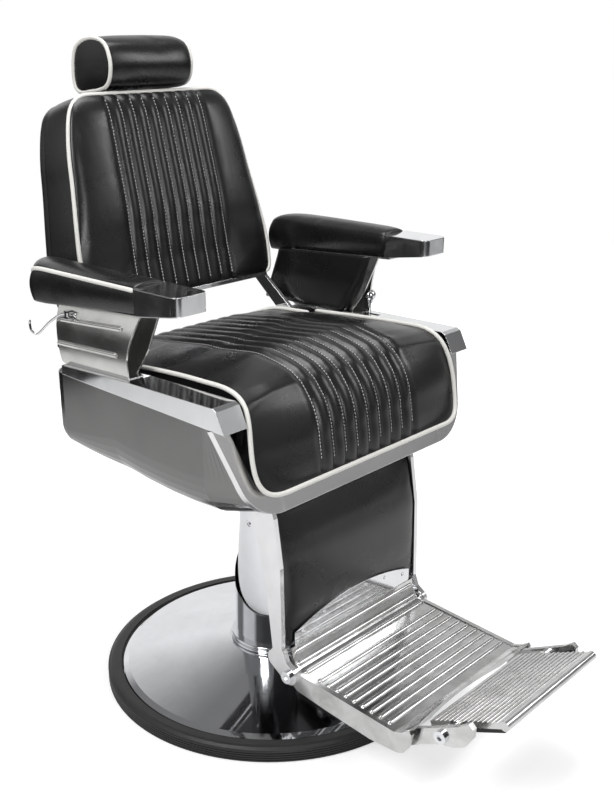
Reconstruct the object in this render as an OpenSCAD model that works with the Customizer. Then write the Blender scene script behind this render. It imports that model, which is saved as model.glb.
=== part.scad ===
// Hydraulic barber chair with a reclining back, sliding headrest, swinging leg rest,
// flip-over step, pump pedal, recline lever and towel hook.
// Origin on the floor under the column axis, +Z up. The chair faces -Y and the
// sitter's left is +X. Outlines of side views are written as [y, z] points.

/* [Base and pump] */
// Outer radius of the rubber rim
rim_r = 325; // [318:1:330]
// Height of the rubber rim
rim_h = 28; // [27:0.5:30]
// Ribs around the rubber rim
rim_ribs = 5; // [3:1:6]
// Outer radius of the pump shroud
shroud_r = 74; // [73.8:0.1:75]
// Radius of the lifting ram
ram_r = 28; // [24:1:30]

/* [Seat] */
// Half the distance over the two rails
rail_x = 317.5; // [316:0.5:319]
// Width of one rail
rail_w = 49.5; // [48:0.5:51]
// Thickness of the sheet that the skirts are pressed from
skirt_t = 2; // [1.5:0.1:2.5]
// Width of the face of the front band
band_w = 29; // [26:0.5:30]
// Thickness of the front band
band_t = 12; // [10:0.5:12]

/* [Upholstery] */
// Distance between the stitch lines of the seat
seat_flute = 30.5; // [29:0.5:31]
// Distance between the stitch lines of the back
back_flute = 29.5; // [28:0.5:31]
// Depth of a stitched channel
flute_d = 5; // [3:0.5:6]
// Tilt of the backrest from the vertical
back_tilt = 14; // [14:0.5:15]

/* [Footrest] */
// Half the width over the side flanges of the footrest
foot_x = 178; // [178:0.5:178]
// Height of a cast rib on the footrest
foot_rib_h = 3.4; // [2.5:0.1:4]
// Distance between the ribs of the footrest
foot_pitch = 18.6; // [18:0.1:18.7]
// Ribs on the step flap
step_ribs = 14; // [10:1:14]

/* [Hidden] */
$fn = 96;

// Rubber rim and base cover
rim_in_r = 296;
rim_lip_r = 299;
rib_d = 3;
cover_t = 1.5;
cover_line = [[295, 26], [285, 31], [87, 62], [72, 62]];

// Cast-iron base
cast_r = 294;
cast_t = 8;
hub_r = 80;
hub_h = 50;
cast_ribs = 8;
base_bolt_r = 55;
base_bolts_n = 4;

// Pump
reservoir_r = 66;
reservoir_z0 = 12;
reservoir_z1 = 120;
barrel_r = 45;
barrel_z1 = 300;
ram_gap = 0.05;
ram_z0 = 60;
ram_z1 = 466;
spigot_r = 25;
spigot_z1 = 504;
shroud_t = 1.5;
shroud_z0 = 76;
shroud_cut = [0.753, 0.527, 207];
pedal_az = 42;
pedal_pin = [88, 96];
pedal_slot_w = 44;

// Swivelling part of the column
hub_z = 470;
hub_plate_t = 12;
collar_r = 58;
sleeve_outer = [[72, 125], [69.2, 189], [65.9, 256], [62.7, 307], [60, 470]];
sleeve_t = 2;
bolt_az = 180;
bolt_z = 321;

// Under frame
tube_z0 = 482;
tube_z1 = 508;
tube_x = 262;
front_tube = [-152, -124];
rear_tube = [70, 98];
board_z = 608;
board_t = 12;

// Rails: side outline and the underside line that the skirts meet
rail_in = rail_x - rail_w;
rail_side = [[191, 631], [191, 647], [15, 654], [-185, 656], [-193, 652], [-210, 618], [-52, 623],
    [87, 627]];
rail_under = [[-400, 612], [-210, 618], [-52, 623], [87, 627], [191, 631], [400, 631]];

// Skirts: keel line, corner radii and plan corner at the rear
skirt_x = 315.5;
keel_low = 457;
keel_rise = 48;
keel_y = -93;
keel_len = 307;
skirt_r = 75;
skirt_end_r = 30;
skirt_lip = 215;
corner_y = 194;
corner_r = 33;
skirt_return_x = 244;
skirt_front_y = -160;
band_lean = 17;
band_taper = 16.3;
band_top_y = -185.5;
band_top_z = 617;
band_drop = 157.5;
band_r = 82;

// Backrest frame: origin at the lower front edge, depth and its taper
back_y = 218;
back_z = 723;
back_h = 370;
back_depth = 111;
back_taper = 3.2;
shell_t = 20;
plate_t = 4;
back_rows = [
    [0, 214, 2], [3, 222, 9], [10, 225, 16], [25, 227.5, 21], [60, 231, 26], [90, 230, 28],
    [124, 226, 29], [150, 222.5, 29], [177, 218.5, 29], [205, 214.5, 29], [228, 211.5, 29],
    [255, 208.5, 28], [280, 204.5, 27], [303, 199.5, 25], [322, 194.5, 23], [336, 189.5, 20],
    [347, 184.5, 17], [356, 177.5, 13], [363, 168.5, 9], [367.5, 160, 5], [370, 150, 1]];
post_w = 50;
post_t = 6;
post_n = 13;
socket_w = 62;
socket_t = 14;
socket_drop = 190;

// Pivots, all with axes along X
pivot_back = [175, 638];
pivot_leg = [-160, 468];
crank_len = 64;
crank_dir = -85;
leg_crank = 56;
leg_crank_dir = -80;
pin_r = 8;
pin_gap = 0.05;
link_pin_back = pivot_back + crank_len * [cos(crank_dir), sin(crank_dir)];
link_pin_leg = pivot_leg + leg_crank * [cos(leg_crank_dir), sin(leg_crank_dir)];
link_x0 = 199;
link_x1 = 206;
bar_x0 = 181;
bar_x1 = 190;
back_link_x0 = 232;
back_link_x1 = 240;

// Footrest and step
foot_t = 6.5;
flange_t = 8;
foot_slope = 4.6;
foot_rear = [-237, 149];
foot_curl_r = 38;
foot_curl_y = -208;
foot_top_z = 189.5;
foot_rib_r = 6;
foot_ribs_flat = 9;
foot_rib_last = -415;
foot_bolt = [-215, 145];
step_pivot = [-515, 155];
step_edge = [-470, 150];
step_angle = 24.1;
step_len = 156.6;
step_t = 12;
step_x = 137;
step_pitch = 9.5;
step_rib_r = 4;
step_pin_r = 6;
step_local = [43.1, -13.8];

// Arms
arm_in = 273;
arm_out = 340;
arm_bow_r = 230;
arm_bow_x = 311;
arm_bow_z = 685;
arm_slope = -16 / 272;
arm_wall = 3.5;
arm_plate = 4;
arm_plate_y = -52;
arm_outer_front = [[22.6, 649], [22, 688], [14, 719], [-7.5, 776]];
arm_inner_front = [[44.5, 649], [24, 677], [7, 702], [-10, 738], [-28, 777]];
arm_rear = [[208.5, 777], [208.5, 745], [210, 713.7], [206, 680], [201, 651.5], [191, 646]];
staple_x = -316;
staple_gap = 0.02;
panel_side = [[52, 654.5], [30, 692], [16, 716], [-10, 778], [238, 765], [265, 654.5]];
hook_pin = [-313, 172];

// ---------------------------------------------------------------- helpers

// Extrudes a [y, z] outline from x0 to x1
module along_x(x0, x1) {
    translate([x0, 0, 0]) rotate([90, 0, 90]) linear_extrude(height = x1 - x0) children();
}

// Cylinder along X between x0 and x1 through the side-view point p
module pin_x(p, r, x0, x1) {
    translate([x0, p[0], p[1]]) rotate([0, 90, 0]) cylinder(r = r, h = x1 - x0);
}

// The children on the sitter's left and their mirror image on the right
module both_sides() {
    children();
    mirror([1, 0, 0]) children();
}

// Disc placed in a side view
module disc(p, r) {
    translate(p) circle(r = r);
}

// Flat bar of width 2*r with round ends between two side-view points
module bar_outline(a, b, r) {
    d = b - a;
    disc(a, r);
    disc(b, r);
    translate(a) rotate(atan2(d[1], d[0])) translate([0, -r]) square([norm(d), 2 * r]);
}

// Mean of a list of points
function centre(p) = [for (k = [0:len(p[0]) - 1]) [for (q = p) q[k]] * [for (q = p) 1] / len(p)];

// Solid through rings of equal length, closed by a fan of triangles at each end
module loft(rings) {
    n = len(rings[0]);
    m = len(rings);
    points = concat([for (r = rings) each r], [centre(rings[0]), centre(rings[m - 1])]);
    sides = [for (j = [0:m - 2]) for (i = [0:n - 1])
        let (a = j * n + i, b = j * n + (i + 1) % n) each [[a, b, b + n], [a, b + n, a + n]]];
    first = [for (i = [0:n - 1]) [(i + 1) % n, i, m * n]];
    last = [for (i = [0:n - 1]) [(m - 1) * n + i, (m - 1) * n + (i + 1) % n, m * n + 1]];
    polyhedron(points, concat(sides, first, last), convexity = 8);
}

// Sheet through stations of equal length: outer and inner chains joined at both ends
module sheet(outer, inner) {
    n = len(outer[0]);
    m = len(outer);
    w = 2 * n;
    points = [for (j = [0:m - 1]) each concat(outer[j], [for (i = [0:n - 1]) inner[j][n - 1 - i]])];
    sides = [for (j = [0:m - 2]) for (i = [0:w - 1])
        let (a = j * w + i, b = j * w + (i + 1) % w) each [[a, b, b + w], [a, b + w, a + w]]];
    first = [for (i = [0:n - 2]) each [[i + 1, i, w - 1 - i], [i + 1, w - 1 - i, w - 2 - i]]];
    last = [for (i = [0:n - 2]) let (o = (m - 1) * w)
        each [[o + i, o + i + 1, o + w - 1 - i], [o + i + 1, o + w - 2 - i, o + w - 1 - i]]];
    polyhedron(points, concat(sides, first, last), convexity = 8);
}

// Closed curve through a few points, with k steps between neighbours
function blend4(a, b, c, d, t) =
    0.5 * (2 * b + (c - a) * t + (2 * a - 5 * b + 4 * c - d) * t * t + (3 * b - a - 3 * c + d) * t * t * t);
function closed_curve(p, k) = let (n = len(p))
    [for (i = [0:n - 1]) for (j = [0:k - 1])
        blend4(p[(i + n - 1) % n], p[i], p[(i + 1) % n], p[(i + 2) % n], j / k)];

// Places across a fluted cushion: the outer slope on each side and both halves of each channel
function flute_x(half, flute) = let (
    edge = 4.5 * flute,
    slope = [(half - 38 + edge) / 2, half - 38, half - 16, half - 5, half])
    concat([for (i = [4:-1:0]) -slope[i]], [for (k = [-9:9]) k * flute / 2], slope);

// Height of a fluted cushion above its piping at x; every other place inside is a stitch line.
// fall holds the two powers that shape the slope to the sides.
function crown_at(x, half, crown, flute, fall) = let (
    full = crown * pow(max(0, 1 - pow(abs(x) / half, fall[0])), fall[1]),
    k = round(2 * x / flute),
    line = abs(x) < 4.4 * flute && k % 2 == 0)
    line ? full - min(flute_d, 0.4 * crown) : full;

// ---------------------------------------------------------------- base

module base_rim() {
    step = (rim_h - 6) / rim_ribs;
    ribs = [for (i = [0:rim_ribs - 1]) let (z = 1 + i * step)
        each [[rim_r - rib_d, z], [rim_r, z + 0.25 * step], [rim_r, z + 0.75 * step]]];
    color([0.06, 0.06, 0.06])
        rotate_extrude($fn = 180)
            polygon(concat([[rim_in_r, 0]], ribs,
                [[rim_r - rib_d, rim_h - 5], [rim_r - 7, rim_h - 1], [rim_r - 12, rim_h],
                 [rim_lip_r, rim_h], [rim_lip_r - 1, 25], [rim_in_r, 24]]));
}

module base_cover() {
    n = len(cover_line);
    under = [for (i = [n - 1:-1:0]) cover_line[i] - [0, cover_t]];
    color([0.8, 0.82, 0.85])
        rotate_extrude($fn = 180) polygon(concat(cover_line, under));
}

// Flat cast disc with a hub, a low outer ring and radial ribs under the cover
module base_casting() {
    rib = [[72, 6], [288, 6], [288, 22], [280, 29], [87, 59.5], [72, 44]];
    color([0.12, 0.12, 0.13])
        difference() {
            union() {
                cylinder(r = cast_r, h = cast_t, $fn = 180);
                cylinder(r = hub_r, h = hub_h);
                difference() {
                    translate([0, 0, 4]) cylinder(r = cast_r, h = 20, $fn = 180);
                    translate([0, 0, 3]) cylinder(r = cast_r - 10, h = 30, $fn = 180);
                }
                for (i = [0:cast_ribs - 1])
                    rotate([0, 0, 360 * (i + 0.5) / cast_ribs])
                        rotate([90, 0, 0]) translate([0, 0, -4]) linear_extrude(height = 8) polygon(rib);
            }
            translate([0, 0, reservoir_z0]) cylinder(r = reservoir_r, h = 60);
            for (i = [0:base_bolts_n - 1])
                rotate([0, 0, 90 * i]) translate([base_bolt_r, 0, 0]) {
                    translate([0, 0, -1]) cylinder(r = 5, h = 20);
                    translate([0, 0, -1]) cylinder(r = 11, h = 7);
                }
        }
}

module base_bolts() {
    color([0.35, 0.35, 0.36])
        for (i = [0:base_bolts_n - 1])
            rotate([0, 0, 90 * i]) translate([base_bolt_r, 0, 0]) {
                translate([0, 0, 1]) cylinder(r = 9.2, h = 5, $fn = 6);
                translate([0, 0, 6]) cylinder(r = 5, h = 22);
            }
}

// Turned ring over the foot of the shroud, with two beads
module pump_flange() {
    color([0.8, 0.82, 0.85])
        rotate_extrude()
            union() {
                translate([reservoir_r, 62]) square([15, 14]);
                translate([reservoir_r + 14, 65.5]) circle(r = 3.5);
                translate([reservoir_r + 13, 72.5]) circle(r = 3.5);
            }
}

// Fixed outer tube, cut off at a slant at the top and slotted for the pedal
module pump_shroud() {
    slant = [[-shroud_r - 10, 0], [shroud_r + 10, 0], [shroud_r + 10, 400], [-shroud_r - 10, 400]];
    az = atan2(shroud_cut[1], shroud_cut[0]);
    tilt = atan(norm([shroud_cut[0], shroud_cut[1]]));
    color([0.8, 0.82, 0.85])
        difference() {
            translate([0, 0, shroud_z0]) cylinder(r = shroud_r, h = 220);
            translate([0, 0, shroud_z0 - 1]) cylinder(r = shroud_r - shroud_t, h = 230);
            translate([0, 0, shroud_cut[2]]) rotate([0, 0, az]) rotate([0, -tilt, 0])
                translate([-300, -200, 0]) cube([600, 400, 400]);
            rotate([0, 0, pedal_az])
                translate([40, -pedal_slot_w / 2, shroud_z0 + 2]) cube([60, pedal_slot_w, 36]);
        }
}

// Oil reservoir round the barrel, with the lug that carries the pedal
module pump_reservoir() {
    color([0.15, 0.15, 0.16])
        difference() {
            union() {
                translate([0, 0, reservoir_z0]) cylinder(r = reservoir_r, h = reservoir_z1 - reservoir_z0);
                rotate([0, 0, pedal_az]) rotate([90, 0, 0]) translate([0, 0, -8])
                    linear_extrude(height = 16) {
                        translate([60, 86]) square([28, 20]);
                        disc(pedal_pin, 10);
                    }
            }
            translate([0, 0, 24]) cylinder(r = barrel_r, h = 200);
            for (i = [0:base_bolts_n - 1])
                rotate([0, 0, 90 * i]) translate([base_bolt_r, 0, 10]) cylinder(r = 5, h = 18);
            rotate([0, 0, pedal_az]) rotate([90, 0, 0]) translate([pedal_pin[0], pedal_pin[1], -12])
                cylinder(r = step_pin_r + pin_gap, h = 24);
        }
}

module pump_barrel() {
    color([0.5, 0.51, 0.53])
        difference() {
            union() {
                translate([0, 0, 24]) cylinder(r = barrel_r, h = barrel_z1 - 24);
                translate([0, 0, barrel_z1 - 18]) cylinder(r = barrel_r + 5, h = 18);
            }
            translate([0, 0, 40]) cylinder(r = ram_r + ram_gap, h = 400);
        }
}

// ---------------------------------------------------------------- pedal

// Forked lever with its cross pin; drawn in the plane through the column axis
module pedal_arm() {
    lever = [[92, 103], [110, 101], [150, 88], [200, 82], [288, 79], [334, 79], [334, 71], [200, 73],
        [150, 78], [100, 88]];
    color([0.8, 0.82, 0.85])
        rotate([0, 0, pedal_az]) rotate([90, 0, 0]) {
            difference() {
                translate([0, 0, -16]) linear_extrude(height = 32) {
                    polygon(lever);
                    disc(pedal_pin, 10);
                }
                translate([0, 0, -8.3]) linear_extrude(height = 16.6) disc(pedal_pin, 24);
                translate([140, 60, 10]) cube([220, 60, 20]);
                translate([140, 60, -30]) cube([220, 60, 20]);
            }
            translate([pedal_pin[0], pedal_pin[1], -19]) cylinder(r = step_pin_r, h = 38);
        }
}

module pedal_pad() {
    color([0.06, 0.06, 0.06])
        rotate([0, 0, pedal_az]) {
            difference() {
                translate([296, -28, 69]) cube([56, 56, 15]);
                translate([290, -10, 60]) cube([44, 20, 19]);
            }
            for (i = [0:5]) translate([302 + 9 * i, -26, 84]) cube([4, 52, 1.5]);
        }
}

// ---------------------------------------------------------------- lift

module ram() {
    color([0.8, 0.82, 0.85]) {
        translate([0, 0, ram_z0]) cylinder(r = ram_r, h = ram_z1 - ram_z0);
        translate([0, 0, ram_z1]) cylinder(r = spigot_r, h = spigot_z1 - ram_z1);
    }
}

module thrust_ring() {
    color([0.7, 0.6, 0.3])
        difference() {
            translate([0, 0, ram_z1]) cylinder(r = 40, h = hub_z - ram_z1);
            translate([0, 0, ram_z1 - 1]) cylinder(r = spigot_r, h = 10);
        }
}

// ---------------------------------------------------------------- column top and frame

module swivel_hub() {
    color([0.12, 0.12, 0.13])
        difference() {
            union() {
                translate([-122, -124, hub_z]) cube([244, 248, hub_plate_t]);
                translate([0, 0, hub_z]) cylinder(r = 44, h = 38);
                translate([0, 0, hub_z - 30]) cylinder(r = collar_r, h = 30);
            }
            translate([0, 0, hub_z - 10]) cylinder(r = spigot_r + pin_gap, h = 100);
            translate([0, 0, hub_z - 40]) cylinder(r = collar_r - 8, h = 40);
        }
}

module column_sleeve() {
    n = len(sleeve_outer);
    inner = concat([[collar_r, hub_z], [collar_r, hub_z - 30]],
        [for (i = [n - 2:-1:0]) sleeve_outer[i] - [sleeve_t, 0]]);
    color([0.8, 0.82, 0.85])
        difference() {
            rotate_extrude() polygon(concat(sleeve_outer, inner));
            rotate([0, 0, bolt_az]) translate([40, 0, bolt_z]) rotate([0, 90, 0]) cylinder(r = 7, h = 40);
        }
}

module sleeve_bolt() {
    color([0.8, 0.82, 0.85])
        rotate([0, 0, bolt_az]) {
            difference() {
                translate([54, 0, bolt_z]) rotate([0, 90, 0]) cylinder(r = 7, h = 7.5);
                translate([59, 0, bolt_z]) rotate([0, 90, 0]) cylinder(r = 3.5, h = 5, $fn = 6);
            }
        }
}

// Welded tube frame: two long tubes, two cross tubes, posts for the board and arms for the rails
module under_frame() {
    color([0.1, 0.1, 0.11]) {
        for (t = [front_tube, rear_tube])
            translate([-tube_x, t[0], tube_z0]) cube([2 * tube_x, t[1] - t[0], tube_z1 - tube_z0]);
        both_sides() {
            translate([90, front_tube[0], tube_z0])
                cube([28, rear_tube[1] - front_tube[0], tube_z1 - tube_z0]);
            for (t = [front_tube, rear_tube]) {
                translate([tube_x - 26, t[0], tube_z0]) cube([26, t[1] - t[0], board_z - tube_z0]);
                translate([tube_x, t[0], board_z - 14]) cube([300 - tube_x, t[1] - t[0], 18]);
                along_x(rail_in + 0.5, 300)
                    polygon([[t[0], board_z], [t[1], board_z],
                        [t[1], lookup(t[1], rail_under) - 0.05], [t[0], lookup(t[0], rail_under) - 0.05]]);
            }
        }
    }
}

module pivot_pins() {
    color([0.5, 0.51, 0.53])
        both_sides() {
            pin_x(pivot_back, pin_r, back_link_x0 - 3, 256);
            pin_x(pivot_leg, pin_r, bar_x0 - 1, 198);
        }
}

// Straight box rail with its slanted front end
module rail_body() {
    along_x(rail_in, rail_x) polygon(rail_side);
}

module left_rail() {
    color([0.8, 0.82, 0.85])
        difference() {
            rail_body();
            translate([289, -15, 600]) cube([10, 50, 80]);
        }
}

module right_rail() {
    color([0.8, 0.82, 0.85]) mirror([1, 0, 0]) rail_body();
}

// ---------------------------------------------------------------- hull

// Height of the keel line at y
function keel(y) = keel_low + keel_rise * pow((y - keel_y) / keel_len, 2);

// Half section [x, z] from the rail down the wall, round the bilge and along the lip.
// The wall leans in by lam degrees going down; r is the bilge radius; steps are fixed.
function half_section(w, zt, lam, r, zk, xe) = let (
    cx = w - (r + (zt - zk - r) * sin(lam)) / cos(lam),
    cz = zk + r)
    concat([[w, zt]],
        [for (i = [0:8]) let (a = -lam - i * (90 - lam) / 8) [cx + r * cos(a), cz + r * sin(a)]],
        [[min(xe, cx - 0.5), zk]]);

// Sections of one skirt, moved inward by t: rear return, rear corner, side and leaning front
function skirt_rings(t) = let (
    w = skirt_x - t,
    end = function (shift_x, phi, y) [for (q = half_section(w, 631, 0, skirt_end_r - t, keel(y) + t, 0))
        let (rho = max(q[0] - (skirt_x - corner_r), skirt_t + 0.6))
        [skirt_x - corner_r + shift_x + rho * cos(phi), corner_y + rho * sin(phi), q[1]]])
    concat(
        [end(skirt_return_x - skirt_x + corner_r, 90, 227)],
        [for (phi = [90, 72, 54, 36, 18]) end(0, phi, corner_y + corner_r * sin(phi))],
        [for (y = [194, 170, 145, 120, 87, 60, 10, -52, -105]) let (
            f = max(0, (y - 60) / 134),
            r = skirt_r + (skirt_end_r - skirt_r) * f - t,
            lip = skirt_lip + (skirt_x - skirt_end_r - skirt_lip) * f)
            [for (q = half_section(w, lookup(y, rail_under), 0, r, keel(y) + t, lip)) [q[0], y, q[1]]]],
        [for (k = [0, 0.2, 0.4, 0.6, 0.8, 1]) let (
            y = skirt_front_y - 12.2 * k,
            zt = lookup(y, rail_under))
            [for (q = half_section(w + k, zt, band_taper * k, skirt_r + 4 * k - t,
                    459.3 + 7.7 * k + t, skirt_lip))
                [q[0], y - tan(band_lean) * k * (zt - q[1]), q[1]]]]);

module skirt() {
    sheet(skirt_rings(0), skirt_rings(skirt_t));
}

module left_skirt() {
    color([0.75, 0.77, 0.8]) skirt();
}

module right_skirt() {
    color([0.75, 0.77, 0.8]) mirror([1, 0, 0]) skirt();
}

// U-shaped outline hanging from the line y = 0: straight leaning sides, round bilges, flat bottom
module u_outline(half, drop, r) {
    cx = half - (r + (drop - r) * sin(band_taper)) / cos(band_taper);
    tangent = [cx + r * cos(band_taper), r - drop - r * sin(band_taper)];
    polygon([[half, 0], tangent, [cx, r - drop], [cx, -drop], [-cx, -drop], [-cx, r - drop],
        [-tangent[0], tangent[1]], [-half, 0]]);
    disc([cx, r - drop], r);
    disc([-cx, r - drop], r);
}

module front_band() {
    color([0.82, 0.83, 0.85])
        difference() {
            translate([0, band_top_y, band_top_z]) rotate([-band_lean, 0, 0]) rotate([90, 0, 0])
                translate([0, 0, -band_t]) linear_extrude(height = band_t)
                    difference() {
                        translate([0, 3]) u_outline(rail_x + 0.8, band_drop + 3, band_r);
                        translate([0, 3]) u_outline(rail_x + 0.8 - band_w, band_drop + 3 - band_w,
                            band_r - band_w);
                        translate([-400, 3]) square([800, 10]);
                    }
            along_x(-400, 400) polygon([[-400, 612], [-210, 618], [-52, 623], [-52, 700], [-400, 700]]);
        }
}

// ---------------------------------------------------------------- seat

// Plywood seat board with a rounded front edge and a front drop
module seat_board() {
    drop_z = 510;
    front = -190;
    top = board_z + board_t;
    side = [[225, top], [-164, top], [-178, top - 2.7], [-186, top - 8], [front, top - 17], [front, drop_z],
        [front + board_t, drop_z], [front + board_t, board_z], [225, board_z]];
    color([0.6, 0.45, 0.3])
        difference() {
            along_x(-tube_x, tube_x) polygon(side);
            both_sides() {
                translate([226, 104, board_z - 5]) cube([60, 140, 40]);
                translate([226, -300, drop_z - 10]) cube([60, 180, 25]);
            }
        }
}

// Rows across the seat cushion: edge [y, z], foot [y, z], half width, crown
seat_rows = [
    [225, 640, 225, 620.2, 221, 1], [224, 653, 224, 620.2, 224, 5], [216, 661, 216, 620.2, 225, 8],
    [195, 664, 195, 620.2, 225, 10], [124, 664, 124, 620.2, 225, 11], [114, 664, 114, 620.2, 245, 11],
    [40, 664, 40, 620.2, 246, 13], [29, 661, 29, 620.2, 267, 16], [0, 660, 0, 620.2, 267, 19],
    [-45, 658, -45, 620.2, 267, 26], [-87, 657, -87, 620.2, 267, 31], [-125, 655, -125, 620.2, 267, 28],
    [-152, 653, -152, 620.2, 267, 23.5], [-170, 650, -164, 620.2, 267, 17.5],
    [-184, 645, -178.1, 617.5, 267, 12.5], [-194, 637, -186.2, 612.2, 267, 10.5],
    [-202, 625, -190.2, 603, 267, 11], [-207, 611, -190.2, 596, 267, 13],
    [-212, 592, -190.2, 586, 267, 16], [-217, 568, -190.2, 566, 267, 15], [-222, 550, -190.2, 549, 264, 13],
    [-226, 533, -190.2, 532, 258, 11], [-229, 521, -190.2, 521, 251, 8.5], [-232, 512, -190.2, 512, 243, 6],
    [-234, 507, -190.2, 507.5, 232, 4], [-235, 504, -190.2, 504.5, 218, 2]];
// Powers of the fall of the crown towards the sides of the seat
seat_fall = [3.5, 1];

function seat_ring(row) = let (
    e = [row[0], row[1]],
    f = [row[2], row[3]],
    n = (e - f) / norm(e - f),
    half = row[4],
    waist = (e + f) / 2,
    top = [for (x = flute_x(half, seat_flute))
        let (p = e + n * crown_at(x, half, row[5], seat_flute, seat_fall)) [x, p[0], p[1]]])
    concat(top, [[half - 4, waist[0], waist[1]], [half - 2, f[0], f[1]],
        [2 - half, f[0], f[1]], [4 - half, waist[0], waist[1]]]);

module seat_cushion() {
    color([0.07, 0.07, 0.08]) loft([for (row = seat_rows) seat_ring(row)]);
}

// ---------------------------------------------------------------- arms

// Underside of the arm rest at y
function arm_under(y) = 777 + (y + 40) * arm_slope;

// Solid between the inner plane of the arm and a bow of radius r, along the whole arm
module arm_bow(r) {
    rotate([90, 0, 0]) translate([0, 0, -300]) linear_extrude(height = 600)
        intersection() {
            disc([arm_bow_x - arm_bow_r, arm_bow_z], r);
            translate([arm_in, 600]) square([60, 200]);
        }
}

// Chrome arm stand: inner plate, outer wall bowed and pressed with two ribs, the hollow between
// them open at the front, and the plate under the pad
module arm_frame() {
    ribs = [[[38, 736], [199, 725]], [[47, 691], [204, 684]]];
    rib_r = 4.5;
    roof = arm_plate + 0.6;
    hollow = [[-60, 657], [188, 651.5], [188, arm_under(188) - roof], [-60, arm_under(-60) - roof]];
    difference() {
        union() {
            along_x(arm_in, arm_in + arm_wall) polygon(concat(arm_inner_front, arm_rear));
            intersection() {
                along_x(arm_in + arm_wall, arm_out) polygon(concat(arm_outer_front, arm_rear));
                arm_bow(arm_bow_r);
            }
            along_x(arm_in + 3, arm_out - 18)
                polygon([for (p = [[arm_plate_y, -2], [214, -2], [214, arm_plate], [arm_plate_y, arm_plate]])
                    [p[0], arm_under(p[0]) - p[1]]]);
            for (line = ribs)
                let (d = line[1] - line[0],
                    bow = sqrt(pow(arm_bow_r, 2) - pow(line[0][1] - 5 - arm_bow_z, 2)))
                    translate([arm_bow_x - arm_bow_r + bow - 1.5, line[0][0], line[0][1]])
                        rotate([-90 + atan2(d[1], d[0]), 0, 0]) cylinder(r = rib_r, h = norm(d));
        }
        along_x(arm_in - 10, arm_out + 10)
            polygon([[-200, 900], [-200, arm_under(-200)], [300, arm_under(300)], [300, 900]]);
        along_x(arm_in - 10, arm_out + 10)
            polygon([[-200, 600], [300, 600], [300, 642.66], [191, 647], [15, 654], [-200, 662.55]]);
        intersection() {
            along_x(arm_in + arm_wall, arm_out) polygon(hollow);
            arm_bow(arm_bow_r - arm_wall);
        }
    }
}

module left_arm_frame() {
    color([0.8, 0.82, 0.85]) arm_frame();
}

module right_arm_frame() {
    color([0.8, 0.82, 0.85]) mirror([1, 0, 0]) arm_frame();
}

// Padded board on the inner side of the arm stand, thicker towards the seat
module arm_panel() {
    intersection() {
        along_x(240, arm_in) polygon(panel_side);
        rotate([90, 0, 0]) translate([0, 0, -300]) linear_extrude(height = 600)
            polygon([[arm_in, 650], [249, 650], [267, 780], [arm_in, 780]]);
        along_x(240, arm_in)
            polygon([[-100, 640], [300, 640], [300, arm_under(300) - 0.3], [-100, arm_under(-100) - 0.3]]);
    }
}

module left_arm_panel() {
    color([0.07, 0.07, 0.08]) arm_panel();
}

module right_arm_panel() {
    color([0.07, 0.07, 0.08]) mirror([1, 0, 0]) arm_panel();
}

// Rows along the arm pad: y, inset of the sides, drop of the top, skew of the rear end
arm_rows = [
    [-39.8, 1, 1, 0], [-30, 0, 0, 0], [30, 0, 0, 0], [90, 0, 0, 0], [150, 0, 0, 8], [190, 0, 0, 20],
    [212, 1, 1, 30], [224, 3, 4, 35], [231, 8, 10, 38], [233, 16, 18, 38]];

function arm_ring(row) = let (
    y = row[0],
    a = arm_in + row[1],
    b = arm_out - row[1],
    zb = arm_under(y),
    ze = 817 - row[2],
    w = b - a,
    across = [[0, 0], [0.06, 5], [0.2, 9.5], [0.5, 12], [0.8, 9.5], [0.94, 5], [1, 0]],
    section = concat([[a + 3, zb], [a + 1, (zb + ze) / 2]],
        [for (q = across) [a + w * q[0], ze + q[1]]],
        [[b - 1, (zb + ze) / 2], [b - 3, zb]]))
    [for (q = section) let (yy = y + row[3] * (arm_out - q[0]) / (arm_out - arm_in))
        [q[0], yy, q[1] == zb ? arm_under(yy) : q[1]]];

module arm_pad() {
    loft([for (i = [len(arm_rows) - 1:-1:0]) arm_ring(arm_rows[i])]);
}

module left_arm_pad() {
    color([0.07, 0.07, 0.08]) arm_pad();
}

module right_arm_pad() {
    color([0.07, 0.07, 0.08]) mirror([1, 0, 0]) arm_pad();
}

// Hollow cast cap over the front end of the arm, open underneath
module arm_tip() {
    front = -138;
    low = [[-200, 799], [front, 790.5], [arm_plate_y, arm_under(arm_plate_y)], [0, arm_under(0)]];
    edge = 14;
    wall = 4;
    color([0.8, 0.82, 0.85])
        difference() {
            translate([0, 0, 770]) linear_extrude(height = 50) {
                translate([arm_in, front + edge]) square([arm_out - arm_in, -40 - front - edge]);
                translate([arm_in + edge, front]) square([arm_out - arm_in - 2 * edge, 40]);
                disc([arm_in + edge, front + edge], edge);
                disc([arm_out - edge, front + edge], edge);
            }
            along_x(arm_in - 10, arm_out + 10)
                polygon(concat([[0, 700], [-200, 700]], low));
            translate([arm_in + wall, front + edge + 2, 700])
                cube([arm_out - arm_in - 2 * wall, -40 - front - edge - 2 - wall, 820 - wall - 700]);
        }
}

module left_arm_tip() {
    arm_tip();
}

module right_arm_tip() {
    mirror([1, 0, 0]) arm_tip();
}

// Small bracket with an upright pin that carries the towel hook
module hook_staple() {
    color([0.8, 0.82, 0.85]) {
        difference() {
            for (z = [732, 742])
                translate([staple_x, hook_pin[1] - 4, z]) cube([20, 8, 3]);
            translate([arm_bow_r - arm_bow_x, 300, arm_bow_z]) rotate([90, 0, 0])
                cylinder(r = arm_bow_r + staple_gap, h = 300, $fn = 180);
        }
        translate([hook_pin[0], hook_pin[1], 732]) cylinder(r = 1.5, h = 13, $fn = 32);
    }
}

// ---------------------------------------------------------------- brackets

module hinge_blocks() {
    color([0.12, 0.12, 0.13])
        both_sides() difference() {
            translate([244, 158, 621]) cube([rail_in - 244, 32, 26]);
            pin_x(pivot_back, pin_r, 240, 256);
        }
}

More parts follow.
